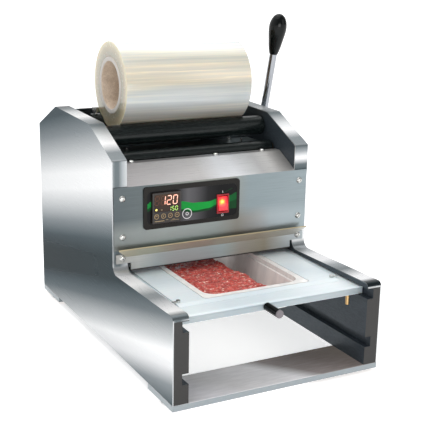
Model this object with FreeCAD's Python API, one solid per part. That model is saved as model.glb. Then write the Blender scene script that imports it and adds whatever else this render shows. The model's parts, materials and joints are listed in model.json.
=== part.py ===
"""Manual table-top tray sealing machine. Units are millimetres, +Z is up.

The working frame has x = 0 on the centre plane, y = 0 at the front ends of the side panels and
z = 0 at their bottom edges. save() moves every node to the row frame, whose origin is the centre
of the overall bounding box, on the floor.
"""
import math
import os

import FreeCAD
import Part
from FreeCAD import Vector

# ---- driving dimensions -------------------------------------------------------------------
WIDTH = 340.0            # over the side covers
DEPTH = 550.0            # front to back of the side panels
SIDE_T = 24.0            # side panel with its cover
SHEET = 1.5              # cover sheet
TOWER_Y = 211.0          # front of the tower
ARM_FRONT_Z = 128.0      # top of the front arms at the front
ARM_BACK_Z = 123.5       # top of the front arms at the tower
ARM_FILLET = 14.0
SHOULDER_Z = 295.5       # top of the tower's upright front
FRONT_PEAK = (302.0, 336.0)
REAR_PEAK = (460.0, 340.0)
BACK_Z = 298.0
BASE_T = 9.0
BASE_D = 82.0
FOOT_H = 5.0

GROOVE_Z = (103.7, 119.3)
LOW_GROOVE_Z = (28.0, 44.0)
GROOVE_DEPTH = 10.0
GROOVE_STOP = 15.0       # panel left behind the grooves

CARRIER_Z = (104.0, 117.0)
CARRIER_GAP = 0.8        # carrier edge to the bottom of its groove
CARRIER_REAR = 330.0
BAR_Y = (21.0, 55.0)
INSERT_HALF = 134.0
INSERT_REAR = 308.0
INSERT_TOP = 119.0
INSERT_BEVEL = 10.0      # depth of the slope along the front of the insert
TRAVEL_CARRIER = 200.0

TRAY_HALF = 88.0         # flange, 176 x 227
TRAY_Y = (68.0, 295.0)
TRAY_DEPTH = 42.0
TRAY_WALL = 0.8
TRAY_CLEAR = 1.2         # flange edge to its recess
TRAY_CORNER = 5.0        # outer corners of the flange
FLANGE_T = 0.8

HEAD_MARGIN = (7.0, 6.0)  # heating plate beyond the tray's flange, in x and y
HEAD_Z = 143.4           # underside of the heating plate at rest
TRAVEL_HEAD = 24.0
PLATE_T = 14.0
INSUL_T = 6.0
PRESS_T = 10.0
BRIDGE_Y = (290.0, 470.0)
BRIDGE_Z = (196.0, 206.0)
COLUMN_R = 7.0
COLUMNS = [(sx * 75.0, y) for sx in (-1, 1) for y in (321.0, 441.0)]
COLUMN_TOP = 264.0
SPRING_GAP = 0.4

SHAFT = (398.7, 240.0)   # y, z of the cross shaft
SHAFT_R = 10.0
MODULE = 1.5
TEETH = 20
GEAR_X = 100.0
GEAR_W = 12.0
BACKLASH = 0.16
RUNNING = 0.03           # radial running clearance

LEVER_OUT = 14.0         # lever plane beyond the side cover
LEVER_LEAN = math.radians(14.34)
ROD_R = 6.5
ROD_END = 208.0          # from the shaft axis
KNOB_END = 262.6
KNOB_R = 15.0
HANDLE_OUT = 15.1         # handle tip in front of the side panels

ROLLER_R = 16.0
ROLLER_FRONT = (319.0, 312.0)
ROLLER_REAR = (407.0, 312.0)
ROLLER_GAP = 3.0         # roller end to side panel
UPPER_R = 12.0
UPPER = (286.5, 280.0)
AXLE_R = 5.0
BUSH_R = 8.0
BUSH_L = 14.0
ROLL_R = 69.0
ROLL_HALF = 111.0
CORE_R = 45.3
CORE_BORE = 38.0
ROLL_GAP = 0.3
COLLAR_T = 5.0
COLLAR_X = (111.6, 127.6)

PANEL_TOP = 255.3
PANEL_BOTTOM = 157.5
APRON_TOP = 152.0        # the film leaves between the two
PANEL_INSET = 2.0        # front panel edge inside the cover
SCREW_INSET = (15.5, 15.0)  # front screws inside the cover: panel, apron
HOOD_TOP = (257.7, 279.5)
PLATE_X = (-121.0, 43.0)
PLATE_Z = (186.5, 252.0)
CTRL_C = (-84.5, 219.0)
CTRL_S = 48.0
ROCKER_X = (2.5, 23.5)
ROCKER_Z = (199.0, 229.5)
REAR_INSET = 2.5         # rear cover inside the back edges of the side panels
REAR_T = 2.0
INLET = (-90.0, 205.0)

IN = WIDTH / 2 - SIDE_T              # inner face of a side panel
CARRIER_HALF = IN + GROOVE_DEPTH - CARRIER_GAP
GROOVE_END = DEPTH - GROOVE_STOP
HEAD_HALF = TRAY_HALF + HEAD_MARGIN[0]
HEAD_Y = (TRAY_Y[0] + TRAVEL_CARRIER - HEAD_MARGIN[1], TRAY_Y[1] + TRAVEL_CARRIER + HEAD_MARGIN[1])
LEVER_X = WIDTH / 2 + LEVER_OUT
ROLLER_HALF = IN - ROLLER_GAP
COLLAR_R = ROLLER_R + COLLAR_T
PANEL_HALF = WIDTH / 2 - PANEL_INSET
REAR_Y = (DEPTH - REAR_INSET - REAR_T, DEPTH - REAR_INSET)
ROLL_C = (
    (ROLLER_FRONT[0] + ROLLER_REAR[0]) / 2,
    ROLLER_FRONT[1] + math.sqrt(
        (ROLL_R + ROLLER_R + ROLL_GAP) ** 2 - ((ROLLER_REAR[0] - ROLLER_FRONT[0]) / 2) ** 2
    ),
)
PITCH_R = MODULE * TEETH / 2
RACK_Y = SHAFT[0] - PITCH_R          # pitch line of the racks
ORIGIN = Vector(-(LEVER_X + KNOB_R - WIDTH / 2) / 2, -(DEPTH - HANDLE_OUT) / 2, BASE_T + FOOT_H)
X, Y, Z = Vector(1, 0, 0), Vector(0, 1, 0), Vector(0, 0, 1)


# ---- helpers ------------------------------------------------------------------------------
def box(x0, x1, y0, y1, z0, z1):
    return Part.makeBox(x1 - x0, y1 - y0, z1 - z0, Vector(x0, y0, z0))


def cyl(r, h, at, axis=Z):
    return Part.makeCylinder(r, h, Vector(*at), axis)


def tube(r_out, r_in, h, at, axis=Z):
    return cyl(r_out, h, at, axis).cut(cyl(r_in, h, at, axis))


def cyl_x(r, x0, x1, yz):
    return cyl(r, x1 - x0, (x0, yz[0], yz[1]), X)


def tube_x(r_out, r_in, x0, x1, yz):
    return tube(r_out, r_in, x1 - x0, (x0, yz[0], yz[1]), X)


def fuse(shapes):
    return shapes[0].multiFuse(shapes[1:]).removeSplitter() if len(shapes) > 1 else shapes[0]


def cut(shape, tools):
    return shape.cut(tools).removeSplitter() if tools else shape


def mirrored(shape):
    return shape.mirror(Vector(0, 0, 0), X)


def both(shape):
    return [shape, mirrored(shape)]


def rounded(points, radii):
    """Closed flat wire through 3-D points, each corner rounded by its radius."""
    n = len(points)
    edges, ends = [], []
    for i in range(n):
        p, a, b = points[i], points[i - 1], points[(i + 1) % n]
        r = radii[i]
        if r <= 0:
            ends.append((p, p, None))
            continue
        ua, ub = (a - p).normalize(), (b - p).normalize()
        half = ua.getAngle(ub) / 2
        t = r / math.tan(half)
        centre = p + (ua + ub).normalize() * (r / math.sin(half))
        mid = centre + (p - centre).normalize() * r
        ends.append((p + ua * t, p + ub * t, mid))
    for i in range(n):
        start, end, mid = ends[i]
        if mid is not None:
            edges.append(Part.Arc(start, mid, end).toShape())
        nxt = ends[(i + 1) % n][0]
        if (nxt - end).Length > 1e-6:
            edges.append(Part.makeLine(end, nxt))
    return Part.Wire(edges)


def slab(wire, direction):
    return Part.Face(wire).extrude(direction)


def yz_wire(pts, radii, x):
    return rounded([Vector(x, y, z) for y, z in pts], radii)


def yz_prism(pts, x0, x1, radii=None):
    return slab(yz_wire(pts, radii or [0] * len(pts), x0), Vector(x1 - x0, 0, 0))


def rect_wire(x0, x1, y0, y1, z, r):
    pts = [Vector(x0, y0, z), Vector(x1, y0, z), Vector(x1, y1, z), Vector(x0, y1, z)]
    return rounded(pts, [r] * 4)


def rect_slab(x0, x1, y0, y1, z0, z1, r):
    return slab(rect_wire(x0, x1, y0, y1, z0, r), Vector(0, 0, z1 - z0))


def front_slab(x0, x1, z0, z1, y0, y1, r):
    """Rounded rectangle in the XZ plane, from y0 back to y1."""
    pts = [Vector(x0, y0, z0), Vector(x1, y0, z0), Vector(x1, y0, z1), Vector(x0, y0, z1)]
    return slab(rounded(pts, [r] * 4), Vector(0, y1 - y0, 0))


def inset(pts, offsets):
    """Move each edge i (from point i to i + 1) of a counter-clockwise outline inwards."""
    n = len(pts)
    lines = []
    for i in range(n):
        (ay, az), (by, bz) = pts[i], pts[(i + 1) % n]
        ly, lz = by - ay, bz - az
        size = math.hypot(ly, lz)
        ny, nz = -lz / size, ly / size
        lines.append((ay + ny * offsets[i], az + nz * offsets[i], ly, lz))
    out = []
    for i in range(n):
        y1, z1, dy1, dz1 = lines[i - 1]
        y2, z2, dy2, dz2 = lines[i]
        t = ((y2 - y1) * dz2 - (z2 - z1) * dy2) / (dy1 * dz2 - dz1 * dy2)
        out.append((y1 + dy1 * t, z1 + dz1 * t))
    return out


def pick_edges(shape, test):
    return [e for e in shape.Edges if test(e.CenterOfMass, e)]


def revolve_profile(pts, at, axis, spline=False):
    """Solid of revolution: pts are (radius, distance along axis) from axis point at."""
    axis = Vector(axis).normalize()
    side = axis.cross(X if abs(axis.x) < 0.9 else Y).normalize()
    base = Vector(*at)
    v = [base + side * r + axis * s for r, s in pts]
    edges = []
    if spline:
        curve = Part.BSplineCurve()
        curve.interpolate(v)
        edges.append(curve.toShape())
    else:
        edges += [Part.makeLine(v[i], v[i + 1]) for i in range(len(v) - 1)]
    top, bottom = base + axis * pts[-1][1], base + axis * pts[0][1]
    if pts[-1][0] > 1e-9:
        edges.append(Part.makeLine(v[-1], top))
    edges.append(Part.makeLine(top, bottom))
    if pts[0][0] > 1e-9:
        edges.append(Part.makeLine(bottom, v[0]))
    return Part.Face(Part.Wire(edges)).revolve(base, axis, 360)


def hexagon(across, h, at, axis=Z):
    axis = Vector(axis).normalize()
    side = axis.cross(X if abs(axis.x) < 0.9 else Y).normalize()
    other = axis.cross(side)
    r = across / math.sqrt(3)
    pts = [Vector(*at) + side * r * math.cos(math.radians(60 * k))
           + other * r * math.sin(math.radians(60 * k)) for k in range(6)]
    return slab(rounded(pts, [0] * 6), axis * h)


def button_screw(at, out, length=12.0, r=5.0, shank=2.5, h=3.0):
    """Button-head screw: at is the centre of its seat, out is the way the head faces."""
    out = Vector(*out)
    dome = [(r, 0.0), (r, 0.5), (r * 0.86, h * 0.55), (r * 0.6, h * 0.9), (r * 0.42, h)]
    head = revolve_profile(dome, at, out)
    body = cyl(shank, length, tuple(Vector(*at) - out * length), out)
    socket = hexagon(3.0, 1.8, tuple(Vector(*at) + out * (h - 1.6)), out)
    return head.fuse(body).cut(socket).removeSplitter()


def screw_hole(at, out, length=12.0, shank=2.5):
    out = Vector(*out)
    return cyl(shank, length + 4.0, tuple(Vector(*at) - out * length), out)


def save(name, shape):
    if isinstance(shape, (list, tuple)):
        shape = Part.makeCompound(list(shape))
    if not shape.isValid():
        print("INVALID", name)
    shape = shape.copy()
    shape.translate(ORIGIN)
    shape.exportStep("parts/" + name + ".step")
    print("%-22s %2d solids  %9.0f mm3" % (name, len(shape.Solids), shape.Volume))


os.makedirs("parts", exist_ok=True)

# ---- fixings shared by several pieces -----------------------------------------------------
FRONT_Y = TOWER_Y - 2.0
front_screws = [((s * x, FRONT_Y, z), (0, -1, 0)) for s in (-1, 1)
                for x, z in ((WIDTH / 2 - SCREW_INSET[0], 238.0), (WIDTH / 2 - SCREW_INSET[0], 179.0),
                             (WIDTH / 2 - SCREW_INSET[1], 146.0))]
hood_screws = [((x, 265.5, HOOD_TOP[1]), (0, 0, 1)) for x in (-116.0, 30.0, 116.0)]
rear_screws = [((x, REAR_Y[1], z), (0, 1, 0)) for x in (-130.0, 0.0, 130.0)
               for z in (130.0, 276.0)]
BAR_S = 12.0
HOOD_BAR = (259.5, 265.9)
DECK_BARS = [(308.0, 268.0), (350.0, 268.0)]
REAR_BARS = [(REAR_Y[0] - BAR_S, z) for z in (124.0, 270.0)]
bars = [HOOD_BAR] + DECK_BARS + REAR_BARS
side_bolts = [(y + BAR_S / 2, z + BAR_S / 2) for y, z in bars]
side_bolts += [(y, (BRIDGE_Z[0] + BRIDGE_Z[1]) / 2) for y in (305.0, 380.0, 455.0)]
guide_bars = [(226.0, 150.0), (HEAD_Y[1] + 18.0, 142.0)]
FEET = [(sx * (WIDTH / 2 - SIDE_T / 2), y) for sx in (-1, 1) for y in (41.0, DEPTH - 41.0)]

# ---- side panels and their covers ---------------------------------------------------------
outline = [(0.0, 0.0), (DEPTH, 0.0), (DEPTH, BACK_Z), REAR_PEAK, FRONT_PEAK,
           (TOWER_Y, SHOULDER_Z), (TOWER_Y, ARM_BACK_Z), (0.0, ARM_FRONT_Z)]
outer_r = [0.0, 0.0, 3.0, 4.0, 4.0, 2.5, ARM_FILLET, 8.0]
inner = inset(outline, [0.0, SHEET, SHEET, SHEET, SHEET, SHEET, SHEET, 0.0])
inner_r = [0.0, 0.0, 1.5, 2.5, 2.5, 1.0, ARM_FILLET + SHEET, 8.0 - SHEET]

skin_in = WIDTH / 2 - SHEET
cover = yz_prism(outline, IN, WIDTH / 2, outer_r).cut(yz_prism(inner, IN - 1, skin_in, inner_r))
panel = yz_prism(inner, IN, skin_in, inner_r)
for z0, z1 in (GROOVE_Z, LOW_GROOVE_Z):
    panel = panel.cut(box(IN - 1, IN + GROOVE_DEPTH, -1, GROOVE_END, z0, z1))
holes = [cyl_x(14.0, IN - 1, skin_in + 1, SHAFT)]
holes += [cyl_x(BUSH_R, IN - 1, IN + BUSH_L, c) for c in (ROLLER_FRONT, ROLLER_REAR, UPPER)]
holes += [cyl_x(6.0, IN - 1, IN + 6.0, c) for c in guide_bars]
for c in side_bolts:
    holes += [cyl_x(3.0, IN - 1, skin_in, c), cyl_x(5.0, skin_in - 6.0, skin_in + 1, c)]
for at, out in front_screws:
    if at[0] > 0:
        holes.append(screw_hole(at, out))
panel = cut(panel, holes)
cover_holes = [screw_hole(at, out) for at, out in front_screws if at[0] > 0]
cover = cut(cover, cover_holes)
save("side_panel_right", panel)
save("side_panel_left", mirrored(panel))
save("side_cover_right", cut(cover, [cyl_x(13.0, skin_in - 1, WIDTH / 2 + 1, SHAFT)]))
save("side_cover_left", mirrored(cover))

# ---- base plates and feet -----------------------------------------------------------------
plates = []
for y0 in (0.0, DEPTH - BASE_D):
    plate = box(-WIDTH / 2, WIDTH / 2, y0, y0 + BASE_D, -BASE_T, 0.0)
    plate = plate.makeChamfer(0.6, pick_edges(plate, lambda c, e: abs(c.z) < 0.01))
    bores = [cyl(2.5, 12.0, (x, y, -BASE_T - 1)) for x, y in FEET if y0 < y < y0 + BASE_D]
    plates.append(cut(plate, bores))
save("base_plates", plates)
feet = []
for x, y in FEET:
    pad = revolve_profile([(8.0, 0.0), (9.5, 1.2), (10.5, FOOT_H)], (x, y, -BASE_T - FOOT_H), Z)
    feet.append(pad.fuse(cyl(2.5, 5.0, (x, y, -BASE_T))).removeSplitter())
save("rubber_feet", feet)

# ---- tower front --------------------------------------------------------------------------
panel = front_slab(-PANEL_HALF, PANEL_HALF, PANEL_BOTTOM, PANEL_TOP, FRONT_Y, TOWER_Y, 0)
panel = panel.fuse(box(-IN + 0.3, IN - 0.3, TOWER_Y, TOWER_Y + 10.0, PANEL_BOTTOM,
                       PANEL_BOTTOM + 2.0)).removeSplitter()
lower_front = pick_edges(panel, lambda c, e: abs(c.y - FRONT_Y) < 0.01
                         and abs(c.z - PANEL_BOTTOM) < 0.01)
panel = panel.makeFillet(1.4, lower_front)
half = CTRL_S / 2
cut_ctrl = box(CTRL_C[0] - 22.6, CTRL_C[0] + 22.6, FRONT_Y - 3, TOWER_Y + 1,
               CTRL_C[1] - 22.6, CTRL_C[1] + 22.6)
cut_rocker = box(ROCKER_X[0] + 1.0, ROCKER_X[1] - 1.0, FRONT_Y - 3, TOWER_Y + 1,
                 ROCKER_Z[0] + 1.0, ROCKER_Z[1] - 1.0)
panel_cuts = [cut_ctrl, cut_rocker] + [screw_hole(at, out) for at, out in front_screws]
save("front_panel", cut(panel, panel_cuts))

hood_out = [(FRONT_Y, PANEL_TOP), HOOD_TOP, (271.5, HOOD_TOP[1])]
hood_in = [(271.5, HOOD_TOP[1] - SHEET), (HOOD_TOP[0] + 0.35, HOOD_TOP[1] - SHEET),
           (FRONT_Y + 3.35, PANEL_TOP)]
hood = yz_prism(hood_out + hood_in, -IN + 0.3, IN - 0.3, [0, 3.0, 0, 0, 1.5, 0])
save("hood", cut(hood, [screw_hole(at, out, 4.0) for at, out in hood_screws]))

ax0, ax1 = IN - 5.0, WIDTH / 2 - 5.0
apron_pts = [(-ax1, APRON_TOP), (-ax1, 138), (-ax0, 138), (-ax0, 125), (ax0, 125), (ax0, 138),
             (ax1, 138), (ax1, APRON_TOP)]
wire = rounded([Vector(x, FRONT_Y, z) for x, z in apron_pts], [0, 0, 0, 2.0, 2.0, 0, 0, 0])
apron = slab(wire, Vector(0, 2.0, 0)).fuse(
    box(1.0 - ax0, ax0 - 1.0, TOWER_Y, TOWER_Y + 10.0, 125.0, 127.0)).removeSplitter()
save("apron", cut(apron, [screw_hole(at, out) for at, out in front_screws]))

LIP_BASE, LIP_TIP = (FRONT_Y, 147.5), (196.3, 162.2)
lx0, lx1 = IN + 2.0, WIDTH / 2 - 3.0
lip_pts = [(-lx0, *LIP_BASE), (lx0, *LIP_BASE), (lx1, *LIP_TIP), (-lx1, *LIP_TIP)]
run = Vector(0, LIP_TIP[0] - LIP_BASE[0], LIP_TIP[1] - LIP_BASE[1])
lip = slab(rounded([Vector(*p) for p in lip_pts], [0, 0, 1.5, 1.5]),
           X.cross(run).normalize() * -1.5)
lip = lip.cut(box(-WIDTH, WIDTH, FRONT_Y, FRONT_Y + 5, 130, 170)).removeSplitter()
save("film_lip", lip)

# ---- control plate, controller and switch -------------------------------------------------
plate = front_slab(PLATE_X[0], PLATE_X[1], PLATE_Z[0], PLATE_Z[1], FRONT_Y - 2.0, FRONT_Y, 5.0)
field = front_slab(PLATE_X[0] + 5.6, PLATE_X[1] - 4.6, PLATE_Z[0] + 6.5, PLATE_Z[1] - 7.0,
                   FRONT_Y - 3.0, FRONT_Y - 1.6, 8.0)
save("control_plate", cut(plate, [field, cut_ctrl, cut_rocker]))
PLATE_FACE = FRONT_Y - 1.6
cx, cz = CTRL_C
case = box(cx - 22.5, cx + 22.5, FRONT_Y - 1.6, TOWER_Y + 73.0, cz - 22.5, cz + 22.5)
bezel = front_slab(cx - half, cx + half, cz - half, cz + half, PLATE_FACE - 5.0, PLATE_FACE, 1.5)
bezel_front = pick_edges(bezel, lambda c, e: abs(c.y - PLATE_FACE + 5.0) < 0.01)
bezel = bezel.makeFillet(0.8, bezel_front)
CTRL_FACE = PLATE_FACE - 5.0
keys = [(cx - 17.4 + 11.4 * k, cz - 12.5) for k in range(4)]
KEY_R = 4.1
pockets = [cyl(KEY_R + 0.35, 3.4, (x, CTRL_FACE - 0.5, z), Y) for x, z in keys]
window = box(cx - 21.0, cx + 21.0, CTRL_FACE - 1, CTRL_FACE + 0.6, cz - 6.0, cz + 21.5)
save("controller_body", cut(bezel.fuse(case), pockets + [window]))
for k, (x, z) in enumerate(keys):
    cap = cyl(KEY_R, 2.0, (x, CTRL_FACE - 0.1, z), Y)
    cap = cap.makeFillet(0.5, pick_edges(cap, lambda c, e: abs(c.y - CTRL_FACE + 0.1) < 0.01))
    save("controller_key_%d" % (k + 1), cap)

rx0, rx1 = ROCKER_X
rz0, rz1 = ROCKER_Z
rocker_c = (FRONT_Y + 1.0, (rz0 + rz1) / 2)
frame = front_slab(rx0, rx1, rz0, rz1, PLATE_FACE - 1.8, PLATE_FACE, 1.0)
frame = frame.fuse(box(rx0 + 1.1, rx1 - 1.1, PLATE_FACE, TOWER_Y + 24.0, rz0 + 1.1, rz1 - 1.1))
well = box(rx0 + 2.2, rx1 - 2.2, PLATE_FACE - 4, TOWER_Y + 8.0, rz0 + 2.2, rz1 - 2.2)
save("rocker_frame", cut(frame, [well, cyl_x(1.2 + RUNNING, rx0, rx1, rocker_c)]))
# the button tilts on two stub pins; at rest its top half is pressed in
py, pz = rocker_c
button = [(PLATE_FACE - 0.8, pz + 11.4), (PLATE_FACE - 2.4, pz + 0.5), (PLATE_FACE - 3.6, pz - 11.4),
          (TOWER_Y + 1.0, pz - 10.5), (TOWER_Y + 5.0, pz), (TOWER_Y + 1.0, pz + 10.5)]
button = yz_prism(button, rx0 + 2.6, rx1 - 2.6, [0.8, 0, 0.8, 0, 0, 0])
save("rocker_button", button.fuse(cyl_x(1.2, rx0 + 1.4, rx1 - 1.4, rocker_c)).removeSplitter())

screws = [button_screw(at, out) for at, out in front_screws]
screws += [button_screw(at, out, 10.0) for at, out in hood_screws + rear_screws]
save("panel_screws", screws)

# ---- rear cover and power inlet -----------------------------------------------------------
slope = (REAR_PEAK[1] - BACK_Z) / (REAR_PEAK[0] - DEPTH)
bend = (REAR_Y[1], BACK_Z - 1.5)
top_y = REAR_PEAK[0] + 10.0
top = (top_y, bend[1] + slope * (top_y - bend[0]))
rear_pts = [(REAR_Y[1], 100.0), bend, top, (top[0], top[1] - 2.2),
            (REAR_Y[0], bend[1] - 1.3), (REAR_Y[0], 100.0)]
rear = yz_prism(rear_pts, -IN + 0.3, IN - 0.3, [0, 4.0, 0, 0, 2.0, 0])
ix, iz = INLET
rear_cuts = [screw_hole(at, out, 5.0) for at, out in rear_screws]
rear_cuts.append(box(ix - 14.0, ix + 14.0, REAR_Y[0] - 1, REAR_Y[1] + 1, iz - 10.5, iz + 10.5))
for k in range(7):
    x = -10.0 + 16.0 * k
    rear_cuts.append(front_slab(x, x + 5.0, 180.0, 240.0, REAR_Y[0] - 1, REAR_Y[1] + 1, 2.4))
save("rear_cover", cut(rear, rear_cuts))
inlet = front_slab(ix - 25.0, ix + 25.0, iz - 13.0, iz + 13.0, REAR_Y[1], REAR_Y[1] + 3.0, 4.0)
inlet = inlet.fuse(box(ix - 14.0, ix + 14.0, REAR_Y[1] - 22.0, REAR_Y[1], iz - 10.5, iz + 10.5))
socket_pts = [Vector(ix + dx, REAR_Y[1] + 4, iz + dz) for dx, dz in
              ((-11.5, -8.0), (11.5, -8.0), (11.5, 3.0), (7.0, 8.0), (-7.0, 8.0), (-11.5, 3.0))]
inlet = inlet.cut(slab(rounded(socket_pts, [2.0] * 6), Vector(0, -20.0, 0)))
blades = [box(ix + x - 1.0, ix + x + 1.0, REAR_Y[1] - 16.0, REAR_Y[1] + 1.0, iz + z - 2.0,
              iz + z + 2.0) for x, z in ((-7.0, -3.5), (0.0, -0.5), (7.0, -3.5))]
ears = [cyl(1.6, 8, (ix + s * 20.0, REAR_Y[1] - 1, iz), Y) for s in (-1, 1)]
save("power_inlet", cut(fuse([inlet] + blades), ears))

# ---- inner frame --------------------------------------------------------------------------
tie = []
for y, z in bars:
    bar = box(-IN, IN, y, y + BAR_S, z, z + BAR_S)
    mid = (y + BAR_S / 2, z + BAR_S / 2)
    bores = [cyl_x(3.0, -IN, -IN + 10.0, mid), cyl_x(3.0, IN - 10.0, IN, mid)]
    bores += [screw_hole(at, out, 10.0) for at, out in hood_screws if (y, z) == HOOD_BAR]
    bores += [screw_hole(at, out, 10.0) for at, out in rear_screws if (y, z) in REAR_BARS]
    if (y, z) in DECK_BARS:
        bores += [cyl(2.0, 14.0, (s * 104.0, mid[0], z + 4.0)) for s in (-1, 1)]
    tie.append(cut(bar, bores))
save("tie_bars", tie)
deck = box(-IN + 0.3, IN - 0.3, 300.0, 366.0, 280.0, 283.0)
stud_at = [(s * 104.0, y) for s in (-1, 1) for y in (314.0, 356.0)]
save("top_deck", cut(deck, [cyl(2.0, 8.0, (x, y, 277.0)) for x, y in stud_at]))
studs = [fuse([cyl(2.0, 20.0, (x, y, 272.0)), hexagon(7.0, 3.2, (x, y, 283.0))])
         for x, y in stud_at]
save("deck_studs", studs)

bridge = box(-IN, IN, *BRIDGE_Y, *BRIDGE_Z)
bridge_cuts = [cyl(11.0, 14.0, (x, y, BRIDGE_Z[0] - 2)) for x, y in COLUMNS]
rack_back = RACK_Y - 12.0
for s in (-1, 1):
    x = s * GEAR_X
    bridge_cuts.append(box(x - 8.0, x + 8.0, rack_back - 1.5, RACK_Y + 3.0, 190.0, 210.0))
    for y in (305.0, 380.0, 455.0):
        bridge_cuts.append(cyl_x(3.0, min(s * IN, s * (IN - 12)), max(s * IN, s * (IN - 12)),
                                 (y, 201.0)))
save("bridge_plate", cut(bridge, bridge_cuts))
bushes = []
for x, y in COLUMNS:
    bush = cyl(11.0, BRIDGE_Z[1] - BRIDGE_Z[0], (x, y, BRIDGE_Z[0]))
    bush = bush.fuse(cyl(14.0, 3.0, (x, y, BRIDGE_Z[0] - 3.0)))
    bushes.append(bush.cut(cyl(COLUMN_R + RUNNING, 20.0, (x, y, BRIDGE_Z[0] - 5))).removeSplitter())
save("guide_bushes", bushes)
caps = []
for s in (-1, 1):
    for y, z in side_bolts:
        head = cyl_x(5.0, skin_in - 6.0, skin_in - 0.4, (y, z))
        shank = cyl_x(3.0, IN - 10.0, skin_in - 6.0, (y, z))
        bolt = head.fuse(shank).cut(hexagon(5.0, 3.0, (skin_in - 3.4, y, z), X)).removeSplitter()
        caps.append(bolt if s > 0 else mirrored(bolt))
save("cap_screws", caps)

bearing = tube_x(14.0, SHAFT_R + RUNNING, IN - 3.0, skin_in, SHAFT)
flange = tube_x(17.0, SHAFT_R + RUNNING, IN - 3.0, IN, SHAFT)
save("shaft_bearings", both(bearing.fuse(flange).removeSplitter()))
small = []
for c in (ROLLER_FRONT, ROLLER_REAR, UPPER):
    sleeve = cyl_x(BUSH_R, IN, IN + BUSH_L, c).cut(cyl_x(AXLE_R + RUNNING, IN - 1, IN + 13.0, c))
    small += both(sleeve)
save("roller_bushes", small)
save("film_guide_bars", [cyl_x(6.0, -IN - 6.0, IN + 6.0, c) for c in guide_bars])

# springs: each between the bridge and the head of its column
SPRING_Z = (BRIDGE_Z[1] + SPRING_GAP, COLUMN_TOP - 8.0 - SPRING_GAP)
springs = []
turns = 6.5
height = SPRING_Z[1] - SPRING_Z[0] - 2.0
helix = Part.makeHelix(height / turns, height, 9.6).Edges[0]
start = helix.valueAt(helix.FirstParameter)
ring = Part.Wire([Part.makeCircle(1.0, start, helix.tangentAt(helix.FirstParameter))])
coil = Part.Wire([helix]).makePipeShell([ring], True, True)
for x, y in COLUMNS:
    one = coil.copy()
    one.translate(Vector(x, y, SPRING_Z[0] + 1.0))
    springs.append(one)
save("return_springs", springs)

# ---- sealing head -------------------------------------------------------------------------
hy0, hy1 = HEAD_Y
z1 = HEAD_Z + PLATE_T
z2 = z1 + INSUL_T
z3 = z2 + PRESS_T
cartridges = [cyl(5.0, hy1 - hy0, (x, hy0 + 6.0, HEAD_Z + 7.0), Y) for x in (-45.0, 45.0)]
heating = rect_slab(-HEAD_HALF, HEAD_HALF, hy0, hy1, HEAD_Z, z1, 6.0)
heating = cut(heating, [cyl(5.0, 300.0, (x, hy0 + 6.0, HEAD_Z + 7.0), Y) for x in (-45.0, 45.0)])
save("heating_plate", heating)
save("heater_cartridges", cartridges)
save("insulation_plate", rect_slab(3.0 - HEAD_HALF, HEAD_HALF - 3.0, hy0 + 3.0, hy1 - 3.0, z1, z2,
                                   4.0))
press_half = max(HEAD_HALF + 5.0, GEAR_X + 18.0)
press = rect_slab(-press_half, press_half, hy0 - 3.0, hy1 - 1.0, z2, z3, 6.0)
press = press.makeChamfer(1.0, pick_edges(press, lambda c, e: abs(c.z - z3) < 0.01))
save("press_plate", press)
half = HEAD_HALF + 3.0
ring_out = rect_slab(-half, half, hy0 - 3.0, hy1 + 3.0, HEAD_Z, z2, 9.0)
half = HEAD_HALF + 0.4
ring_in = rect_slab(-half, half, hy0 - 0.4, hy1 + 0.4, HEAD_Z - 1, z2 + 1, 6.4)
ring_cuts = [ring_in] + [cyl(6.0, 30.0, (x, hy1 - 5.0, HEAD_Z + 7.0), Y)
                         for x in (-45.0, 45.0)]
save("cutting_frame", cut(ring_out, ring_cuts))
columns = []
for x, y in COLUMNS:
    rod = cyl(COLUMN_R, COLUMN_TOP - z3, (x, y, z3))
    columns.append(rod.fuse(cyl(12.0, 8.0, (x, y, COLUMN_TOP - 8.0))).removeSplitter())
save("guide_columns", columns)

# gear racks: trapezium teeth facing +Y, a space centred level with the shaft at rest
PITCH = math.pi * MODULE
TAN = math.tan(math.radians(20.0))
rack_top = SHAFT[1] + TRAVEL_HEAD + 11.0
half_tooth = PITCH / 4 - BACKLASH / 2
tip, root = MODULE, 1.3 * MODULE
profile = [(rack_back, z3), (RACK_Y - root, z3)]
k = math.ceil(-14.0 / PITCH - 0.5)
while SHAFT[1] + (k + 0.5) * PITCH + PITCH / 2 < rack_top:
    z = SHAFT[1] + (k + 0.5) * PITCH
    profile += [(RACK_Y - root, z - half_tooth - root * TAN), (RACK_Y + tip, z - half_tooth + tip * TAN),
                (RACK_Y + tip, z + half_tooth - tip * TAN), (RACK_Y - root, z + half_tooth + root * TAN)]
    k += 1
profile += [(RACK_Y - root, rack_top), (rack_back, rack_top)]
rack = yz_prism(profile, GEAR_X - GEAR_W / 2, GEAR_X + GEAR_W / 2)
foot = box(GEAR_X - 7.0, GEAR_X + 7.0, rack_back - 10.0, rack_back, z3, z3 + 8.0)
save("gear_racks", both(rack.fuse(foot).removeSplitter()))

# ---- lever, shaft and pinions -------------------------------------------------------------
save("cross_shaft", cyl_x(SHAFT_R, -skin_in + 3.5, LEVER_X + 11.0, SHAFT))


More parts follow.
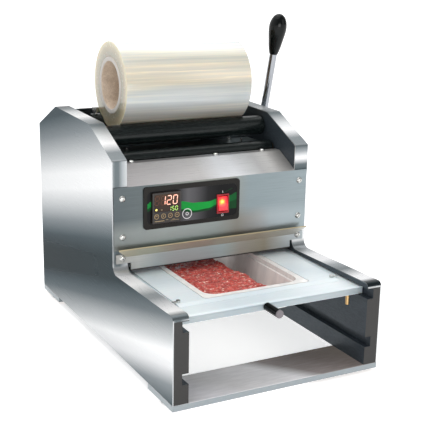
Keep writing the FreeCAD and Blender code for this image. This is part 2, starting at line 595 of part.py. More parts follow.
def involute_gear(x0, x1, centre, teeth, module, pressure=math.radians(20.0)):
    """Spur gear with one tooth pointing to -Y; flanks are chords of the involute."""
    rp = module * teeth / 2
    rb, ra, rr = rp * math.cos(pressure), rp + module, rp - 1.25 * module
    inv = math.tan(pressure) - pressure
    half_angle = math.pi / (2 * teeth) - BACKLASH / (4 * rp) + inv
    flank = []
    for i in range(6):
        r = rb + (ra - rb) * i / 5
        a = math.acos(min(1.0, rb / r))
        flank.append((r, half_angle - (math.tan(a) - a)))
    pts = []
    for t in range(teeth):
        mid = math.pi + 2 * math.pi * t / teeth
        side = [(rr, half_angle)] + flank
        pts += [(r, mid - a) for r, a in side] + [(r, mid + a) for r, a in reversed(side)]
    points = [(centre[0] + r * math.cos(a), centre[1] + r * math.sin(a)) for r, a in pts]
    return yz_prism(points, x0, x1)


gear = involute_gear(GEAR_X - GEAR_W / 2, GEAR_X + GEAR_W / 2, SHAFT, TEETH, MODULE)
gear = gear.fuse(cyl_x(11.9, GEAR_X + GEAR_W / 2, GEAR_X + GEAR_W / 2 + 8.0, SHAFT))
gear = gear.cut(cyl_x(SHAFT_R, GEAR_X - 10.0, GEAR_X + 20.0, SHAFT)).removeSplitter()
save("pinions", both(gear))

pivot = Vector(LEVER_X, *SHAFT)
lean = Vector(0, -math.sin(LEVER_LEAN), math.cos(LEVER_LEAN))
hub = tube_x(17.0, SHAFT_R, LEVER_X - 12.0, LEVER_X + 11.0, SHAFT)
hub = hub.makeChamfer(1.0, pick_edges(hub, lambda c, e: e.Length > 90))
boss = Part.makeCylinder(9.0, 12.0, pivot + lean * 14.0, lean)
boss = boss.cut(cyl_x(SHAFT_R + 0.2, LEVER_X - 20, LEVER_X + 20, SHAFT))
rod = Part.makeCylinder(ROD_R, ROD_END - 13.0, pivot + lean * 13.0, lean)
save("lever_hub", hub.fuse(boss).cut(rod).removeSplitter())
save("lever_rod", rod)
knob_pts = [(7.2, 193.0), (8.0, 195.5), (9.9, 203.0), (11.2, 210.0), (12.3, 217.0), (13.6, 224.5),
            (14.6, 231.5), (KNOB_R, 238.0), (14.6, 244.5), (12.9, 251.0), (9.6, 257.4), (5.2, 261.2),
            (0.0, KNOB_END)]
knob = revolve_profile(knob_pts, tuple(pivot), lean, spline=True)
save("lever_knob", knob.cut(rod))

# ---- carrier ------------------------------------------------------------------------------
cz0, cz1 = CARRIER_Z
carrier = box(-CARRIER_HALF, CARRIER_HALF, BAR_Y[1], CARRIER_REAR, cz0, cz1)
carrier = carrier.cut(box(-INSERT_HALF - 0.2, INSERT_HALF + 0.2, BAR_Y[1] - 1, INSERT_REAR + 0.2,
                          107.0, cz1 + 1))
carrier = carrier.cut(rect_slab(-120.0, 120.0, BAR_Y[1] + 6.0, INSERT_REAR - 6.0, cz0 - 1, 108.0, 8.0))
save("carrier_frame", carrier.removeSplitter())
bar_pts = [(BAR_Y[1], cz0), (BAR_Y[1], cz1), (BAR_Y[0], cz1), (BAR_Y[0] + 4.0, cz0)]
bar = yz_prism(bar_pts[::-1], -CARRIER_HALF, CARRIER_HALF, [1.5, 3.5, 0, 0])
corner = rect_slab(-CARRIER_HALF, CARRIER_HALF, BAR_Y[0], BAR_Y[1] + 20, cz0, cz1, 7.0)
bar = bar.common(corner)
HANDLE = (-13.0, 111.0)
PIN = (CARRIER_HALF - 21.2, 33.0)
bar = cut(bar, [cyl(4.0, 20.0, (HANDLE[0], BAR_Y[0] - 2, HANDLE[1]), Y)]
          + [cyl(3.0, 10.0, (*PIN, cz0 - 1))])
save("carrier_front_bar", bar)
pin = cyl(3.0, cz0 - 78.0, (*PIN, 87.0))
save("stop_pin", pin.makeChamfer(0.6, pick_edges(pin, lambda c, e: abs(c.z - 87.0) < 0.01)))
grip = cyl(6.0, 33.0, (HANDLE[0], -11.5, HANDLE[1]), Y)
grip = grip.fuse(cyl(4.0, 17.0, (HANDLE[0], 20.0, HANDLE[1]), Y))
past = 5.0 * 4.0 / (cz1 - cz0)       # run of the bar's sloping front over 5 mm
trim = yz_prism([(60.0, cz0 - 5), (60.0, cz1 + 5), (BAR_Y[0] - past, cz1 + 5),
                 (BAR_Y[0] + 4.0 + past, cz0 - 5)][::-1], -40, 20)
trim = trim.cut(cyl(4.0, 60.0, (HANDLE[0], 0.0, HANDLE[1]), Y))
save("carrier_handle", grip.cut(trim).removeSplitter())
save("handle_cap", revolve_profile([(6.0, 0.0), (6.0, 1.5), (5.0, 3.0), (0.0, 3.6)],
                                   (HANDLE[0], -11.5, HANDLE[1]), (0, -1, 0)))

ty0, ty1 = TRAY_Y
insert_pts = [(BAR_Y[1] + 0.2, 107.0), (INSERT_REAR, 107.0), (INSERT_REAR, INSERT_TOP),
              (BAR_Y[1] + INSERT_BEVEL, INSERT_TOP), (BAR_Y[1] + 0.2, cz1)]
insert = yz_prism(insert_pts, -INSERT_HALF, INSERT_HALF)
half = TRAY_HALF - 7.4
insert = insert.cut(rect_slab(-half, half, ty0 + 7.4, ty1 - 7.4, 100.0, 125.0, 22.0))
SEAT_Z = INSERT_TOP - FLANGE_T - 1.2
half = TRAY_HALF + TRAY_CLEAR
insert = insert.cut(rect_slab(-half, half, ty0 - TRAY_CLEAR, ty1 + TRAY_CLEAR, SEAT_Z, 125.0,
                              TRAY_CORNER + TRAY_CLEAR))
clip_at = [(s * (INSERT_HALF - 5.0), BAR_Y[1] + INSERT_BEVEL + 5.0) for s in (-1, 1)]
insert = cut(insert, [cyl(1.6, 10.0, (x, y, INSERT_TOP - 6.0)) for x, y in clip_at])
save("tray_insert", insert)
gasket = rect_slab(-TRAY_HALF, TRAY_HALF, ty0, ty1, SEAT_Z, SEAT_Z + 1.2, TRAY_CORNER)
half = TRAY_HALF - 7.0
gasket = gasket.cut(rect_slab(-half, half, ty0 + 7.0, ty1 - 7.0, SEAT_Z - 1, SEAT_Z + 2, 21.6))
save("tray_gasket", gasket)
clips = []
for x, y in clip_at:
    clip = fuse([cyl(1.6, 8.0, (x, y, INSERT_TOP - 6.0)), cyl(3.2, 3.4, (x, y, INSERT_TOP)),
                 box(min(x, x * 1.075), max(x, x * 1.075), y - 2.0, y + 2.0, INSERT_TOP + 0.4,
                     INSERT_TOP + 1.6)])
    clips.append(clip)
save("insert_clips", clips)

# tray: sections from the flange down, each (inset from the flange's edges, z, radius)
ftop = INSERT_TOP
floor_z = ftop - TRAY_DEPTH
sections = [(8.2, ftop + 1.0, 21.2), (9.0, ftop - 7.0, 20.6), (10.6, ftop - 8.0, 20.0),
            (16.5, floor_z, 17.0)]


def tray_block(grow, drop):
    wires = []
    for end, z, r in sections:
        low = drop if z == floor_z else 0.0
        half_w = TRAY_HALF - end + grow
        wires.append(rect_wire(-half_w, half_w, ty0 + end - grow, ty1 - end + grow, z - low,
                               r + grow))
    return Part.makeLoft(wires, True, True)


shell = tray_block(0.0, 0.0).cut(box(-TRAY_HALF, TRAY_HALF, 0, 400, ftop, ftop + 5))
flange = rect_slab(-TRAY_HALF, TRAY_HALF, ty0, ty1, ftop - FLANGE_T, ftop, TRAY_CORNER)
hollow = tray_block(-TRAY_WALL, -TRAY_WALL)
save("food_tray", shell.fuse(flange).cut(hollow).removeSplitter())

room = tray_block(-TRAY_WALL - 0.2, -TRAY_WALL)
left = -TRAY_HALF - 2.0
edge = [(left, 60), (38, 60), (39, 84), (30, 118), (34, 150), (24, 190), (27, 226), (14, 258),
        (-18, 268), (-52, 262), (left, 270)]
curve = Part.BSplineCurve()
curve.interpolate([Vector(x, y, 70.0) for x, y in edge[1:]])
corner = [Vector(left, 270, 70), Vector(left, 60, 70), Vector(38, 60, 70)]
outline_m = Part.Wire([curve.toShape(), Part.makeLine(corner[0], corner[1]),
                       Part.makeLine(corner[1], corner[2])])
mass = Part.Face(outline_m).extrude(Vector(0, 0, ftop - 5.0 - 70.0))
rim = pick_edges(mass, lambda c, e: abs(c.z - ftop + 5.0) < 0.01 and e.Length > 230)
mass = mass.makeFillet(12.0, rim)
save("minced_meat", mass.common(room).removeSplitter())

# ---- film and its rollers -----------------------------------------------------------------
save("film_core", tube_x(CORE_R, CORE_BORE, -ROLL_HALF, ROLL_HALF, ROLL_C))
save("film_winding", tube_x(ROLL_R, CORE_R, -ROLL_HALF + 0.5, ROLL_HALF - 0.5, ROLL_C))


def roller(r, yz):
    body = cyl_x(r, -ROLLER_HALF, ROLLER_HALF, yz)
    body = body.makeChamfer(1.0, pick_edges(body, lambda c, e: e.Length > 6.2 * r))
    axle = cyl_x(AXLE_R, -IN - 12.0, IN + 12.0, yz)
    return body.fuse(axle).removeSplitter()


save("support_roller_front", roller(ROLLER_R, ROLLER_FRONT))
save("support_roller_rear", roller(ROLLER_R, ROLLER_REAR))
save("guide_roller_upper", roller(UPPER_R, UPPER))
collars = []
mid = sum(COLLAR_X) / 2
ry, rz = ROLLER_REAR
ring = tube_x(COLLAR_R, ROLLER_R + 0.02, *COLLAR_X, ROLLER_REAR)
bolt = fuse([cyl(3.0, 9.0, (mid, ry, rz + ROLLER_R + 0.2)),
             hexagon(9.0, 8.0, (mid, ry, rz + COLLAR_R + 3.0))])
ring = ring.cut(cyl(3.0, 20.0, (mid, ry, rz + ROLLER_R - 2.0)))
save("roller_collars", both(ring))
save("collar_bolts", both(bolt))
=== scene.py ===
"""Looks of a manual tray sealing machine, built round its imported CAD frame.

Laid out as an add-on: properties for what a user would change, one operator for each group of
pieces, and a panel that lists them. Lengths are in metres unless a name says otherwise.
"""
import json
import math
import random

import bmesh
import bpy
from bpy.props import (BoolProperty, FloatProperty, FloatVectorProperty, IntProperty,
                       PointerProperty, StringProperty)
from mathutils import Matrix, Vector, noise


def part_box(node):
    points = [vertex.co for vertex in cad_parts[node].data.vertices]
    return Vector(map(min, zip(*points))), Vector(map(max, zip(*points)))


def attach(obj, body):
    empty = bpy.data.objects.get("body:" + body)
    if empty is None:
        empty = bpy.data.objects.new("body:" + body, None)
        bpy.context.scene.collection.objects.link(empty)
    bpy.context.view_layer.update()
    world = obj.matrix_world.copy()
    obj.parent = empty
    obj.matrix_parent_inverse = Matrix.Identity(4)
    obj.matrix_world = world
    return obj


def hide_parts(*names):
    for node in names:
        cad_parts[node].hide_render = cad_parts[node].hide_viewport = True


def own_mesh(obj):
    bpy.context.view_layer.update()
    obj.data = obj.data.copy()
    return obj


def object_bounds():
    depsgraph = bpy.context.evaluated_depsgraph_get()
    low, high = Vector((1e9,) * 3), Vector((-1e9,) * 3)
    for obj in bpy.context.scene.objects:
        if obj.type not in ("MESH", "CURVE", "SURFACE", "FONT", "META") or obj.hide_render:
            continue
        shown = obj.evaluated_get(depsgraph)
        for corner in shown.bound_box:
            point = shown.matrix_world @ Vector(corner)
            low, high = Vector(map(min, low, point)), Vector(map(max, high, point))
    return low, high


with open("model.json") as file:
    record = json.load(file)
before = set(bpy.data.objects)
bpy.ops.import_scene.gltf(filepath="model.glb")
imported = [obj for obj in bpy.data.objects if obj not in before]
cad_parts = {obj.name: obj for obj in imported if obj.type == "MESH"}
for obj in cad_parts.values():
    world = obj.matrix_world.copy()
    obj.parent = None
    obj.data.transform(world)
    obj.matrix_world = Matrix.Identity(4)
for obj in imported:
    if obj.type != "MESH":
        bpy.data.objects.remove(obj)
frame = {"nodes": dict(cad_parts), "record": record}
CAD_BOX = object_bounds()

bl_info = {
    "name": "Tray sealing machine",
    "version": (1, 0, 0),
    "blender": (4, 5, 0),
    "location": "View3D > Sidebar > Tray Sealer",
    "description": "Builds the finishes and fine pieces of a manual tray sealing machine",
    "category": "Object",
}

MM = 0.001
X, Y, Z = Vector((1, 0, 0)), Vector((0, 1, 0)), Vector((0, 0, 1))


# ---- places read from the frame -------------------------------------------------------------
def centre(node):
    low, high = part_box(node)
    return (low + high) / 2


PANEL_LOW, PANEL_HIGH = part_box("side_cover_left")
MID_X = (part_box("side_cover_left")[0].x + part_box("side_cover_right")[1].x) / 2
FRONT_Y = PANEL_LOW.y
BASE_Z = PANEL_LOW.z


def from_front(x_mm, y_mm, z_mm):
    """A point given from the middle of the side panels' lower front edge, in millimetres."""
    return Vector((MID_X + x_mm * MM, FRONT_Y + y_mm * MM, BASE_Z + z_mm * MM))


# ---- colours and nodes ----------------------------------------------------------------------
def linear(hexcode, alpha=1.0):
    """sRGB hex to the linear colour that shaders use."""
    out = []
    for i in (0, 2, 4):
        c = int(hexcode.lstrip("#")[i:i + 2], 16) / 255
        out.append(c / 12.92 if c <= 0.04045 else ((c + 0.055) / 1.055) ** 2.4)
    return (*out, alpha)


def node(tree, kind, inputs=None, stops=None, **settings):
    """Adds a node, sets its properties, and sets or links its inputs."""
    n = tree.nodes.new(kind)
    for key, value in settings.items():
        setattr(n, key, value)
    if stops:
        ramp = n.color_ramp
        ramp.elements[0].position, ramp.elements[1].position = stops[0][0], stops[-1][0]
        for at, _ in stops[1:-1]:
            ramp.elements.new(at)
        for element, (_, colour) in zip(ramp.elements, stops):
            element.color = linear(colour) if isinstance(colour, str) else colour
    for key, value in (inputs or {}).items():
        if isinstance(value, bpy.types.NodeSocket):
            tree.links.new(value, n.inputs[key])
        else:
            n.inputs[key].default_value = value
    return n


def material(name, **shader):
    """A material with one principled shader; returns (material, tree, shader, coordinates)."""
    mat = bpy.data.materials.new(name)
    mat.use_nodes = True
    tree = mat.node_tree
    bsdf = tree.nodes["Principled BSDF"]
    for key, value in shader.items():
        bsdf.inputs[key.replace("_", " ")].default_value = value
    place = node(tree, "ShaderNodeTexCoord").outputs["Object"]
    return mat, tree, bsdf, place


def grain(tree, place, size_mm, detail=2.0, rough=0.5):
    """Noise whose cells are size_mm = (x, y, z) across."""
    scale = [1 / (s * MM) for s in size_mm]
    mapped = node(tree, "ShaderNodeMapping", {"Vector": place, "Scale": scale})
    return node(tree, "ShaderNodeTexNoise", {"Vector": mapped.outputs[0], "Scale": 1.0,
                                             "Detail": detail, "Roughness": rough}).outputs["Fac"]


def spread(tree, value, low, high, at=(0.3, 0.7)):
    """Maps a value linearly onto low..high."""
    return node(tree, "ShaderNodeMapRange", {"Value": value, "From Min": at[0], "From Max": at[1],
                                             "To Min": low, "To Max": high}).outputs[0]


def bump(tree, bsdf, height, depth_mm, strength=1.0):
    b = node(tree, "ShaderNodeBump", {"Height": height, "Distance": depth_mm * MM,
                                      "Strength": strength})
    tree.links.new(b.outputs[0], bsdf.inputs["Normal"])


def along(tree, place, weights, low, high):
    """0..1 along a direction given by weights, between two distances in metres."""
    dot = node(tree, "ShaderNodeVectorMath", {0: place, 1: weights}, operation="DOT_PRODUCT")
    return spread(tree, dot.outputs["Value"], 0.0, 1.0, (low, high))


def mixed(tree, factor, a, b, blend="MIX"):
    m = node(tree, "ShaderNodeMix", {0: factor, 6: a, 7: b}, data_type="RGBA", blend_type=blend)
    return m.outputs[2]


def maths(tree, op, a, b=0.0, clamp=False):
    return node(tree, "ShaderNodeMath", {0: a, 1: b}, operation=op, use_clamp=clamp).outputs[0]


def normal_part(tree, axis):
    """The size of one part of the surface normal."""
    normal = node(tree, "ShaderNodeNewGeometry").outputs["Normal"]
    part = node(tree, "ShaderNodeSeparateXYZ", {0: normal}).outputs[axis]
    return maths(tree, "ABSOLUTE", part)


def reopened(mat):
    """A finished material's tree, its colour so far, coordinates, and the shader's colour input."""
    tree = mat.node_tree
    base = tree.nodes["Principled BSDF"].inputs["Base Color"]
    place = node(tree, "ShaderNodeTexCoord").outputs["Object"]
    return tree, base.links[0].from_socket, place, base


# ---- materials ------------------------------------------------------------------------------
# Greys of polished stainless, used for painted reflection and sheen. The stops of
# rim_reflection_left and rim_reflection_right below, and of the hood, panel, apron, lip, plate
# and lidding film, are rounded from a colour fit that another script made.
WHITE, BRIGHT, PALE, LIGHT, MID = "fbfbfb", "ebebec", "d0d2d3", "b4b7b9", "969b9e"
GREY, DARK, DEEP, BLACK = "7c8285", "626a6d", "4a5457", "22282b"


def ground_stainless():
    """304 stainless sheet, fine ground: long soft bands of painted reflection, light and dark, with
    a hairline grain along its length, and a painted highlight where the sheet turns its edge."""
    mat, tree, bsdf, place = material("ground_stainless_304", Metallic=0.8, Roughness=0.30,
                                      Specular_Tint=linear("70767a"))
    y0, z0 = FRONT_Y, BASE_Z
    low, high = z0 + 0.23 * y0, z0 + 0.23 * y0 + 0.43
    # painted reflection: soft light and dark bands across the outer faces, on a slanting axis
    face = [(0.0, DARK), (0.07, MID), (0.13, BRIGHT), (0.18, WHITE), (0.22, PALE), (0.30, GREY),
            (0.38, DEEP), (0.46, DEEP), (0.52, DARK), (0.58, MID), (0.64, PALE), (0.71, WHITE),
            (0.77, WHITE), (0.84, PALE), (0.92, MID), (1.0, DARK)]
    t = along(tree, place, (0.0, 0.23, 1.0), low, high)
    outer = node(tree, "ShaderNodeValToRGB", {0: t}, stops=face).outputs[0]
    depth = PANEL_HIGH.y - PANEL_LOW.y
    # painted reflection along the top rims, front to back, one ramp for each side
    rim_reflection_left = [(0.01, DARK), (0.04, WHITE), (0.07, BRIGHT), (0.15, MID), (0.18, MID),
                (0.22, PALE), (0.27, WHITE), (0.35, BRIGHT), (0.39, GREY), (0.42, GREY),
                (0.46, BRIGHT), (0.49, PALE), (0.54, DARK), (0.60, MID), (0.66, WHITE),
                (0.73, PALE), (0.79, DARK), (0.85, BLACK), (1.0, DARK)]
    rim_reflection_right = [(0.02, BLACK), (0.04, BRIGHT), (0.07, BRIGHT), (0.14, DARK), (0.19, MID),
                 (0.24, BRIGHT), (0.30, BRIGHT), (0.34, LIGHT), (0.39, GREY), (0.42, GREY),
                 (0.46, BRIGHT), (0.49, PALE), (0.54, DARK), (0.61, LIGHT), (0.66, GREY),
                 (1.0, DARK)]
    s = along(tree, place, (0.0, 1.0, 0.0), y0, y0 + depth)
    side = node(tree, "ShaderNodeSeparateXYZ", {0: place}).outputs[0]
    side = spread(tree, side, 0.0, 1.0, (MID_X - 0.01, MID_X + 0.01))
    top = mixed(tree, side, node(tree, "ShaderNodeValToRGB", {0: s}, stops=rim_reflection_left).outputs[0],
                node(tree, "ShaderNodeValToRGB", {0: s}, stops=rim_reflection_right).outputs[0])
    # painted sheen on the front uprights: across the left one, up the right one
    left = along(tree, place, (1, 0, 0), PANEL_LOW.x, PANEL_LOW.x + 24 * MM)
    right = along(tree, place, (0, 0, 1), z0 + 0.24, z0 + 0.30)
    upright_sheen_left = node(tree, "ShaderNodeValToRGB", {0: left}, stops=[
        (0.0, PALE), (0.09, GREY), (0.22, DARK), (0.45, DARK), (0.70, MID),
        (1.0, LIGHT)]).outputs[0]
    upright_sheen_right = node(tree, "ShaderNodeValToRGB", {0: right}, stops=[
        (0.0, PALE), (0.12, LIGHT), (0.25, DEEP), (0.40, DARK), (0.58, BRIGHT), (0.75, MID),
        (0.92, DEEP)]).outputs[0]
    upright = mixed(tree, side, upright_sheen_left, upright_sheen_right)
    ny, nx, nz = normal_part(tree, 1), normal_part(tree, 0), normal_part(tree, 2)
    edge = mixed(tree, spread(tree, ny, 0.0, 1.0, (0.92, 0.97)), top, upright)
    colour = mixed(tree, spread(tree, nx, 0.0, 1.0, (0.90, 0.97)), edge, outer)
    # painted highlight on the rounded bends between the outer faces and the rims
    turn = maths(tree, "MULTIPLY", spread(tree, nx, 0.0, 1.0, (0.15, 0.3)),
                 spread(tree, nx, 1.0, 0.0, (0.88, 0.97)), clamp=True)
    colour = mixed(tree, turn, colour, linear("eeeff0"))
    hair = grain(tree, place, (0.5, 60, 0.5), 3.0)
    colour = mixed(tree, spread(tree, hair, 0.0, 0.07), colour, linear("7d8386"), "MULTIPLY")
    tree.links.new(colour, bsdf.inputs["Base Color"])
    tree.links.new(spread(tree, hair, 0.26, 0.36), bsdf.inputs["Roughness"])
    tree.links.new(spread(tree, nz, 0.8, 0.25, (0.80, 0.95)), bsdf.inputs["Metallic"])
    bump(tree, bsdf, hair, 0.01, 0.12)
    return mat


def satin_stainless(name, stops, axis=(1, 0, 0), span=None, grain_mm=(60, 0.5, 0.5), rough=0.34,
                    metal=0.85):
    """Stainless sheet, satin brushed: a broad even sheen broken by fine parallel lines."""
    mat, tree, bsdf, place = material(name, Metallic=metal, Roughness=rough)
    low, high = span or (MID_X - 0.17, MID_X + 0.17)
    t = along(tree, place, axis, low, high)
    colour = node(tree, "ShaderNodeValToRGB", {0: t}, stops=stops).outputs[0]
    hair = grain(tree, place, grain_mm, 3.0)
    cloud = grain(tree, place, (70, 70, 45), 1.0)
    colour = mixed(tree, spread(tree, hair, 0.0, 0.16), colour, linear("787d80"), "MULTIPLY")
    colour = mixed(tree, spread(tree, cloud, 0.0, 0.10), colour, linear("9a968f"), "MULTIPLY")
    tree.links.new(colour, bsdf.inputs["Base Color"])
    tree.links.new(spread(tree, hair, rough - 0.08, rough + 0.10), bsdf.inputs["Roughness"])
    bump(tree, bsdf, hair, 0.02, 0.4)
    return mat


def hood_stainless():
    """Brushed stainless with the grain across: pale, with slow warm and cool patches of painted
    reflection.
    """
    return satin_stainless("hood_stainless_brushed", [
        (0.0, "949192"), (0.45, "aeacac"), (0.55, "c6c8cb"), (0.62, "c8cacd"), (0.76, "9c9c9c"),
        (0.88, "b8b6b3"), (1.0, "6c6a6a")], rough=0.34, metal=0.6)


def panel_stainless():
    """Satin stainless, blue-grey: darker to the left, where less light falls on it, and warmed
    along the bottom by the beige lip that stands before it."""
    mat = satin_stainless("panel_stainless_satin", [
        (0.0, "565e61"), (0.18, "626a6c"), (0.30, "808581"), (0.58, "8e908a"), (0.68, "869296"),
        (1.0, "8c979b")], rough=0.36)
    tree, upper, place, base = reopened(mat)
    across = along(tree, place, (1, 0, 0), MID_X - 0.17, MID_X + 0.17)
    lower = node(tree, "ShaderNodeValToRGB", {0: across}, stops=[
        (0.0, "7c807f"), (0.25, "8f9896"), (0.50, "8a9290"), (0.62, "84817a"), (0.74, "969898"),
        (0.80, "98a1a5"), (1.0, "929da1")]).outputs[0]
    height = along(tree, place, (0, 0, 1), BASE_Z + 0.185, BASE_Z + 0.205)
    tree.links.new(mixed(tree, height, lower, upper), base)
    return mat


def rear_stainless():
    """Satin stainless at the back of the machine: even blue-grey, a little paler at mid width."""
    return satin_stainless("rear_stainless_satin", [
        (0.0, "7c868a"), (0.45, "929da1"), (1.0, "848e92")], rough=0.36)


def apron_stainless():
    """Satin stainless near the table, with painted reflection of the beige in front of it, and a
    painted shadow line along its lower edge."""
    mat = satin_stainless("apron_stainless_satin", [
        (0.0, "a6a4a0"), (0.12, "bec0bd"), (0.22, "a8b4b6"), (0.54, "a5b8ba"), (0.64, "9e9c93"),
        (0.77, "928a79"), (0.90, "b2b8ba"), (1.0, "a8b0b4")], rough=0.46, metal=0.4)
    tree, face, place, base = reopened(mat)
    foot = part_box("apron")[0].z
    # painted shadow: the lowest edge of the apron is dark
    above_shadow_line = along(tree, place, (0, 0, 1), foot + 1.4 * MM, foot + 2.6 * MM)
    tree.links.new(mixed(tree, above_shadow_line, linear("2e2a28"), face), base)
    return mat


def lip_stainless():
    """Satin stainless guide lip: beige-grey, with a painted brassy highlight along its upper edge.
    """
    mat = satin_stainless("lip_stainless_satin", [
        (0.0, "c3b8a2"), (0.25, "c2c8b8"), (0.50, "bcc4b6"), (0.72, "b2a694"), (1.0, "c3c5c0")],
        rough=0.40, metal=0.5)
    tree, below, place, base = reopened(mat)
    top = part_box("film_lip")[1].z
    # painted highlight along the lip's upper edge
    t = along(tree, place, (0, 0, 1), top - 2.6 * MM, top - 1.0 * MM)
    tree.links.new(mixed(tree, t, below, linear("b8ab8a")), base)
    return mat


def plate_stainless():
    """Cold rolled stainless plate: mid grey, mottled, with soft painted bands of sheen front to
    back, one of them bright.
    """
    start = MID_X + 0.85 * FRONT_Y - 0.15
    # painted sheen: light to the left, darker to the right, with one bright band
    mat = satin_stainless("plate_stainless_rolled", [
        (0.0, "c6c4c6"), (0.15, "dcdade"), (0.30, "d6d4d5"), (0.56, "f0eef0"), (0.60, "d6d4d5"),
        (0.66, "958c8a"), (0.85, "867c78"), (1.0, "9c9088")],
        axis=(1.0, 0.85, 0.0), span=(start, start + 0.34), grain_mm=(25, 4, 4), rough=0.42,
        metal=0.0)
    tree, face, _, base = reopened(mat)
    level = normal_part(tree, 2)
    cut = spread(tree, level, 1.0, 0.0, (0.1, 0.5))
    tree.links.new(mixed(tree, cut, face, linear("8f979b")), base)
    return mat


def machined(name, hexcode, rough=0.38, cut_mm=0.4, tint="8c8c8c"):
    """Bare metal off the machine: even colour with fine turning or milling lines."""
    mat, tree, bsdf, place = material(name, Metallic=1.0, Roughness=rough)
    lines = grain(tree, place, (cut_mm, 8, cut_mm), 2.0)
    colour = mixed(tree, spread(tree, lines, 0.0, 0.25), linear(hexcode), linear(tint), "MULTIPLY")
    tree.links.new(colour, bsdf.inputs["Base Color"])
    tree.links.new(spread(tree, lines, rough - 0.1, rough + 0.1), bsdf.inputs["Roughness"])
    bump(tree, bsdf, lines, 0.02, 0.3)
    return mat


def graphite_anodised():
    """Aluminium plate, anodised graphite: dark blue-grey, satin, with a painted highlight on its
    chamfered edges and painted shade on its front faces.
    """
    mat, tree, bsdf, place = material("aluminium_anodised_graphite", Metallic=0.3, Roughness=0.45)
    fine = grain(tree, place, (1.2, 6.0, 1.2), 3.0)
    cloud = grain(tree, place, (90, 90, 60), 1.0)
    colour = mixed(tree, spread(tree, cloud, 0.0, 1.0), linear("333b43"), linear("424b52"))
    colour = mixed(tree, spread(tree, fine, 0.0, 0.25), colour, linear("555a5e"), "MULTIPLY")
    nx, ny = normal_part(tree, 0), normal_part(tree, 1)
    # painted highlight on the chamfers, where the normal lies between x and y
    chamfer_highlight = maths(tree, "MULTIPLY", spread(tree, nx, 0.0, 1.0, (0.3, 0.5)),
                   spread(tree, ny, 0.0, 1.0, (0.3, 0.5)), clamp=True)
    colour = mixed(tree, chamfer_highlight, colour, linear("8f8688"))
    # painted shade: front faces darker and browner
    front = spread(tree, ny, 0.0, 1.0, (0.90, 0.97))
    colour = mixed(tree, front, colour, linear("2c2b2a"))
    tree.links.new(colour, bsdf.inputs["Base Color"])
    tree.links.new(spread(tree, fine, 0.34, 0.52), bsdf.inputs["Roughness"])
    bump(tree, bsdf, fine, 0.03, 0.3)
    return mat


def moulded(name, hexcode, rough=0.4, grain_mm=0.6, coat=0.0, depth=0.03, other=None, spec=0.5):
    """Moulded plastic or rubber: one colour, a faint cast grain, softly blotched gloss."""
    mat, tree, bsdf, place = material(name, Roughness=rough, Coat_Weight=coat,
                                      Coat_Roughness=0.08, Specular_IOR_Level=spec)
    fine = grain(tree, place, (grain_mm,) * 3, 2.0)
    cloud = grain(tree, place, (35,) * 3, 1.0)
    colour = mixed(tree, spread(tree, cloud, 0.0, 1.0), linear(hexcode), linear(other or hexcode))
    colour = mixed(tree, spread(tree, fine, 0.0, 0.18), colour, linear("9a9a9a"), "MULTIPLY")
    tree.links.new(colour, bsdf.inputs["Base Color"])
    tree.links.new(spread(tree, fine, rough - 0.06, rough + 0.08), bsdf.inputs["Roughness"])
    bump(tree, bsdf, fine, depth, 0.3)
    return mat


def chrome_plate():
    """Bright chrome on turned steel: near mirror, with the odd fine polishing line."""
    mat, tree, bsdf, place = material("chrome_plate_bright", Metallic=1.0, Roughness=0.07)
    bsdf.inputs["Base Color"].default_value = linear("989ba0")
    lines = grain(tree, place, (0.6, 0.6, 12), 2.0)
    tree.links.new(spread(tree, lines, 0.04, 0.14), bsdf.inputs["Roughness"])
    bump(tree, bsdf, lines, 0.01, 0.2)
    return mat


def roller_black():
    """Aluminium tube, hard anodised black and polished: one long sharp highlight."""
    mat, tree, bsdf, place = material("aluminium_hard_anodised_black", Metallic=0.2,
                                      Roughness=0.22, Specular_IOR_Level=0.3)
    lines = grain(tree, place, (14, 0.6, 0.6), 2.0)
    colour = mixed(tree, spread(tree, lines, 0.0, 1.0), linear("080c0d"), linear("1a2221"))
    tree.links.new(colour, bsdf.inputs["Base Color"])
    tree.links.new(spread(tree, lines, 0.16, 0.32), bsdf.inputs["Roughness"])
    return mat


def white_acetal():
    """White acetal board, milled: cool white, slightly translucent, with faint cutter marks, and
    painted shade on its front faces.
    """
    mat, tree, bsdf, place = material("acetal_white_milled", Roughness=0.36,
                                      Subsurface_Weight=0.08, Subsurface_Scale=0.004)
    marks = grain(tree, place, (30, 1.2, 1.2), 2.0)
    cloud = grain(tree, place, (120, 90, 60), 1.0)
    colour = mixed(tree, spread(tree, cloud, 0.0, 1.0), linear("ccd7dc"), linear("e0e7e9"))
    colour = mixed(tree, spread(tree, marks, 0.0, 0.10), colour, linear("9fb0bb"), "MULTIPLY")
    # painted shade: front faces darker
    front = spread(tree, normal_part(tree, 1), 0.0, 1.0, (0.80, 0.97))
    colour = mixed(tree, front, colour, linear("bcc0c2"), "MULTIPLY")
    tree.links.new(colour, bsdf.inputs["Base Color"])
    tree.links.new(spread(tree, marks, 0.28, 0.46), bsdf.inputs["Roughness"])
    bump(tree, bsdf, marks, 0.02, 0.3)
    return mat


def tray_polypropylene():
    """Natural polypropylene, thermoformed thin: milky and see-through, with drawn streaks."""
    mat, tree, bsdf, place = material("polypropylene_natural_thermoformed", Roughness=0.16,
                                      IOR=1.49, Coat_Weight=0.4, Coat_Roughness=0.05)
    drawn = grain(tree, place, (14, 14, 60), 2.0)
    colour = mixed(tree, spread(tree, drawn, 0.0, 1.0), linear("efeeec"), linear("fcf9f5"))
    tree.links.new(colour, bsdf.inputs["Base Color"])
    tree.links.new(spread(tree, drawn, 0.88, 0.97), bsdf.inputs["Alpha"])
    bump(tree, bsdf, drawn, 0.06, 0.3)
    return mat


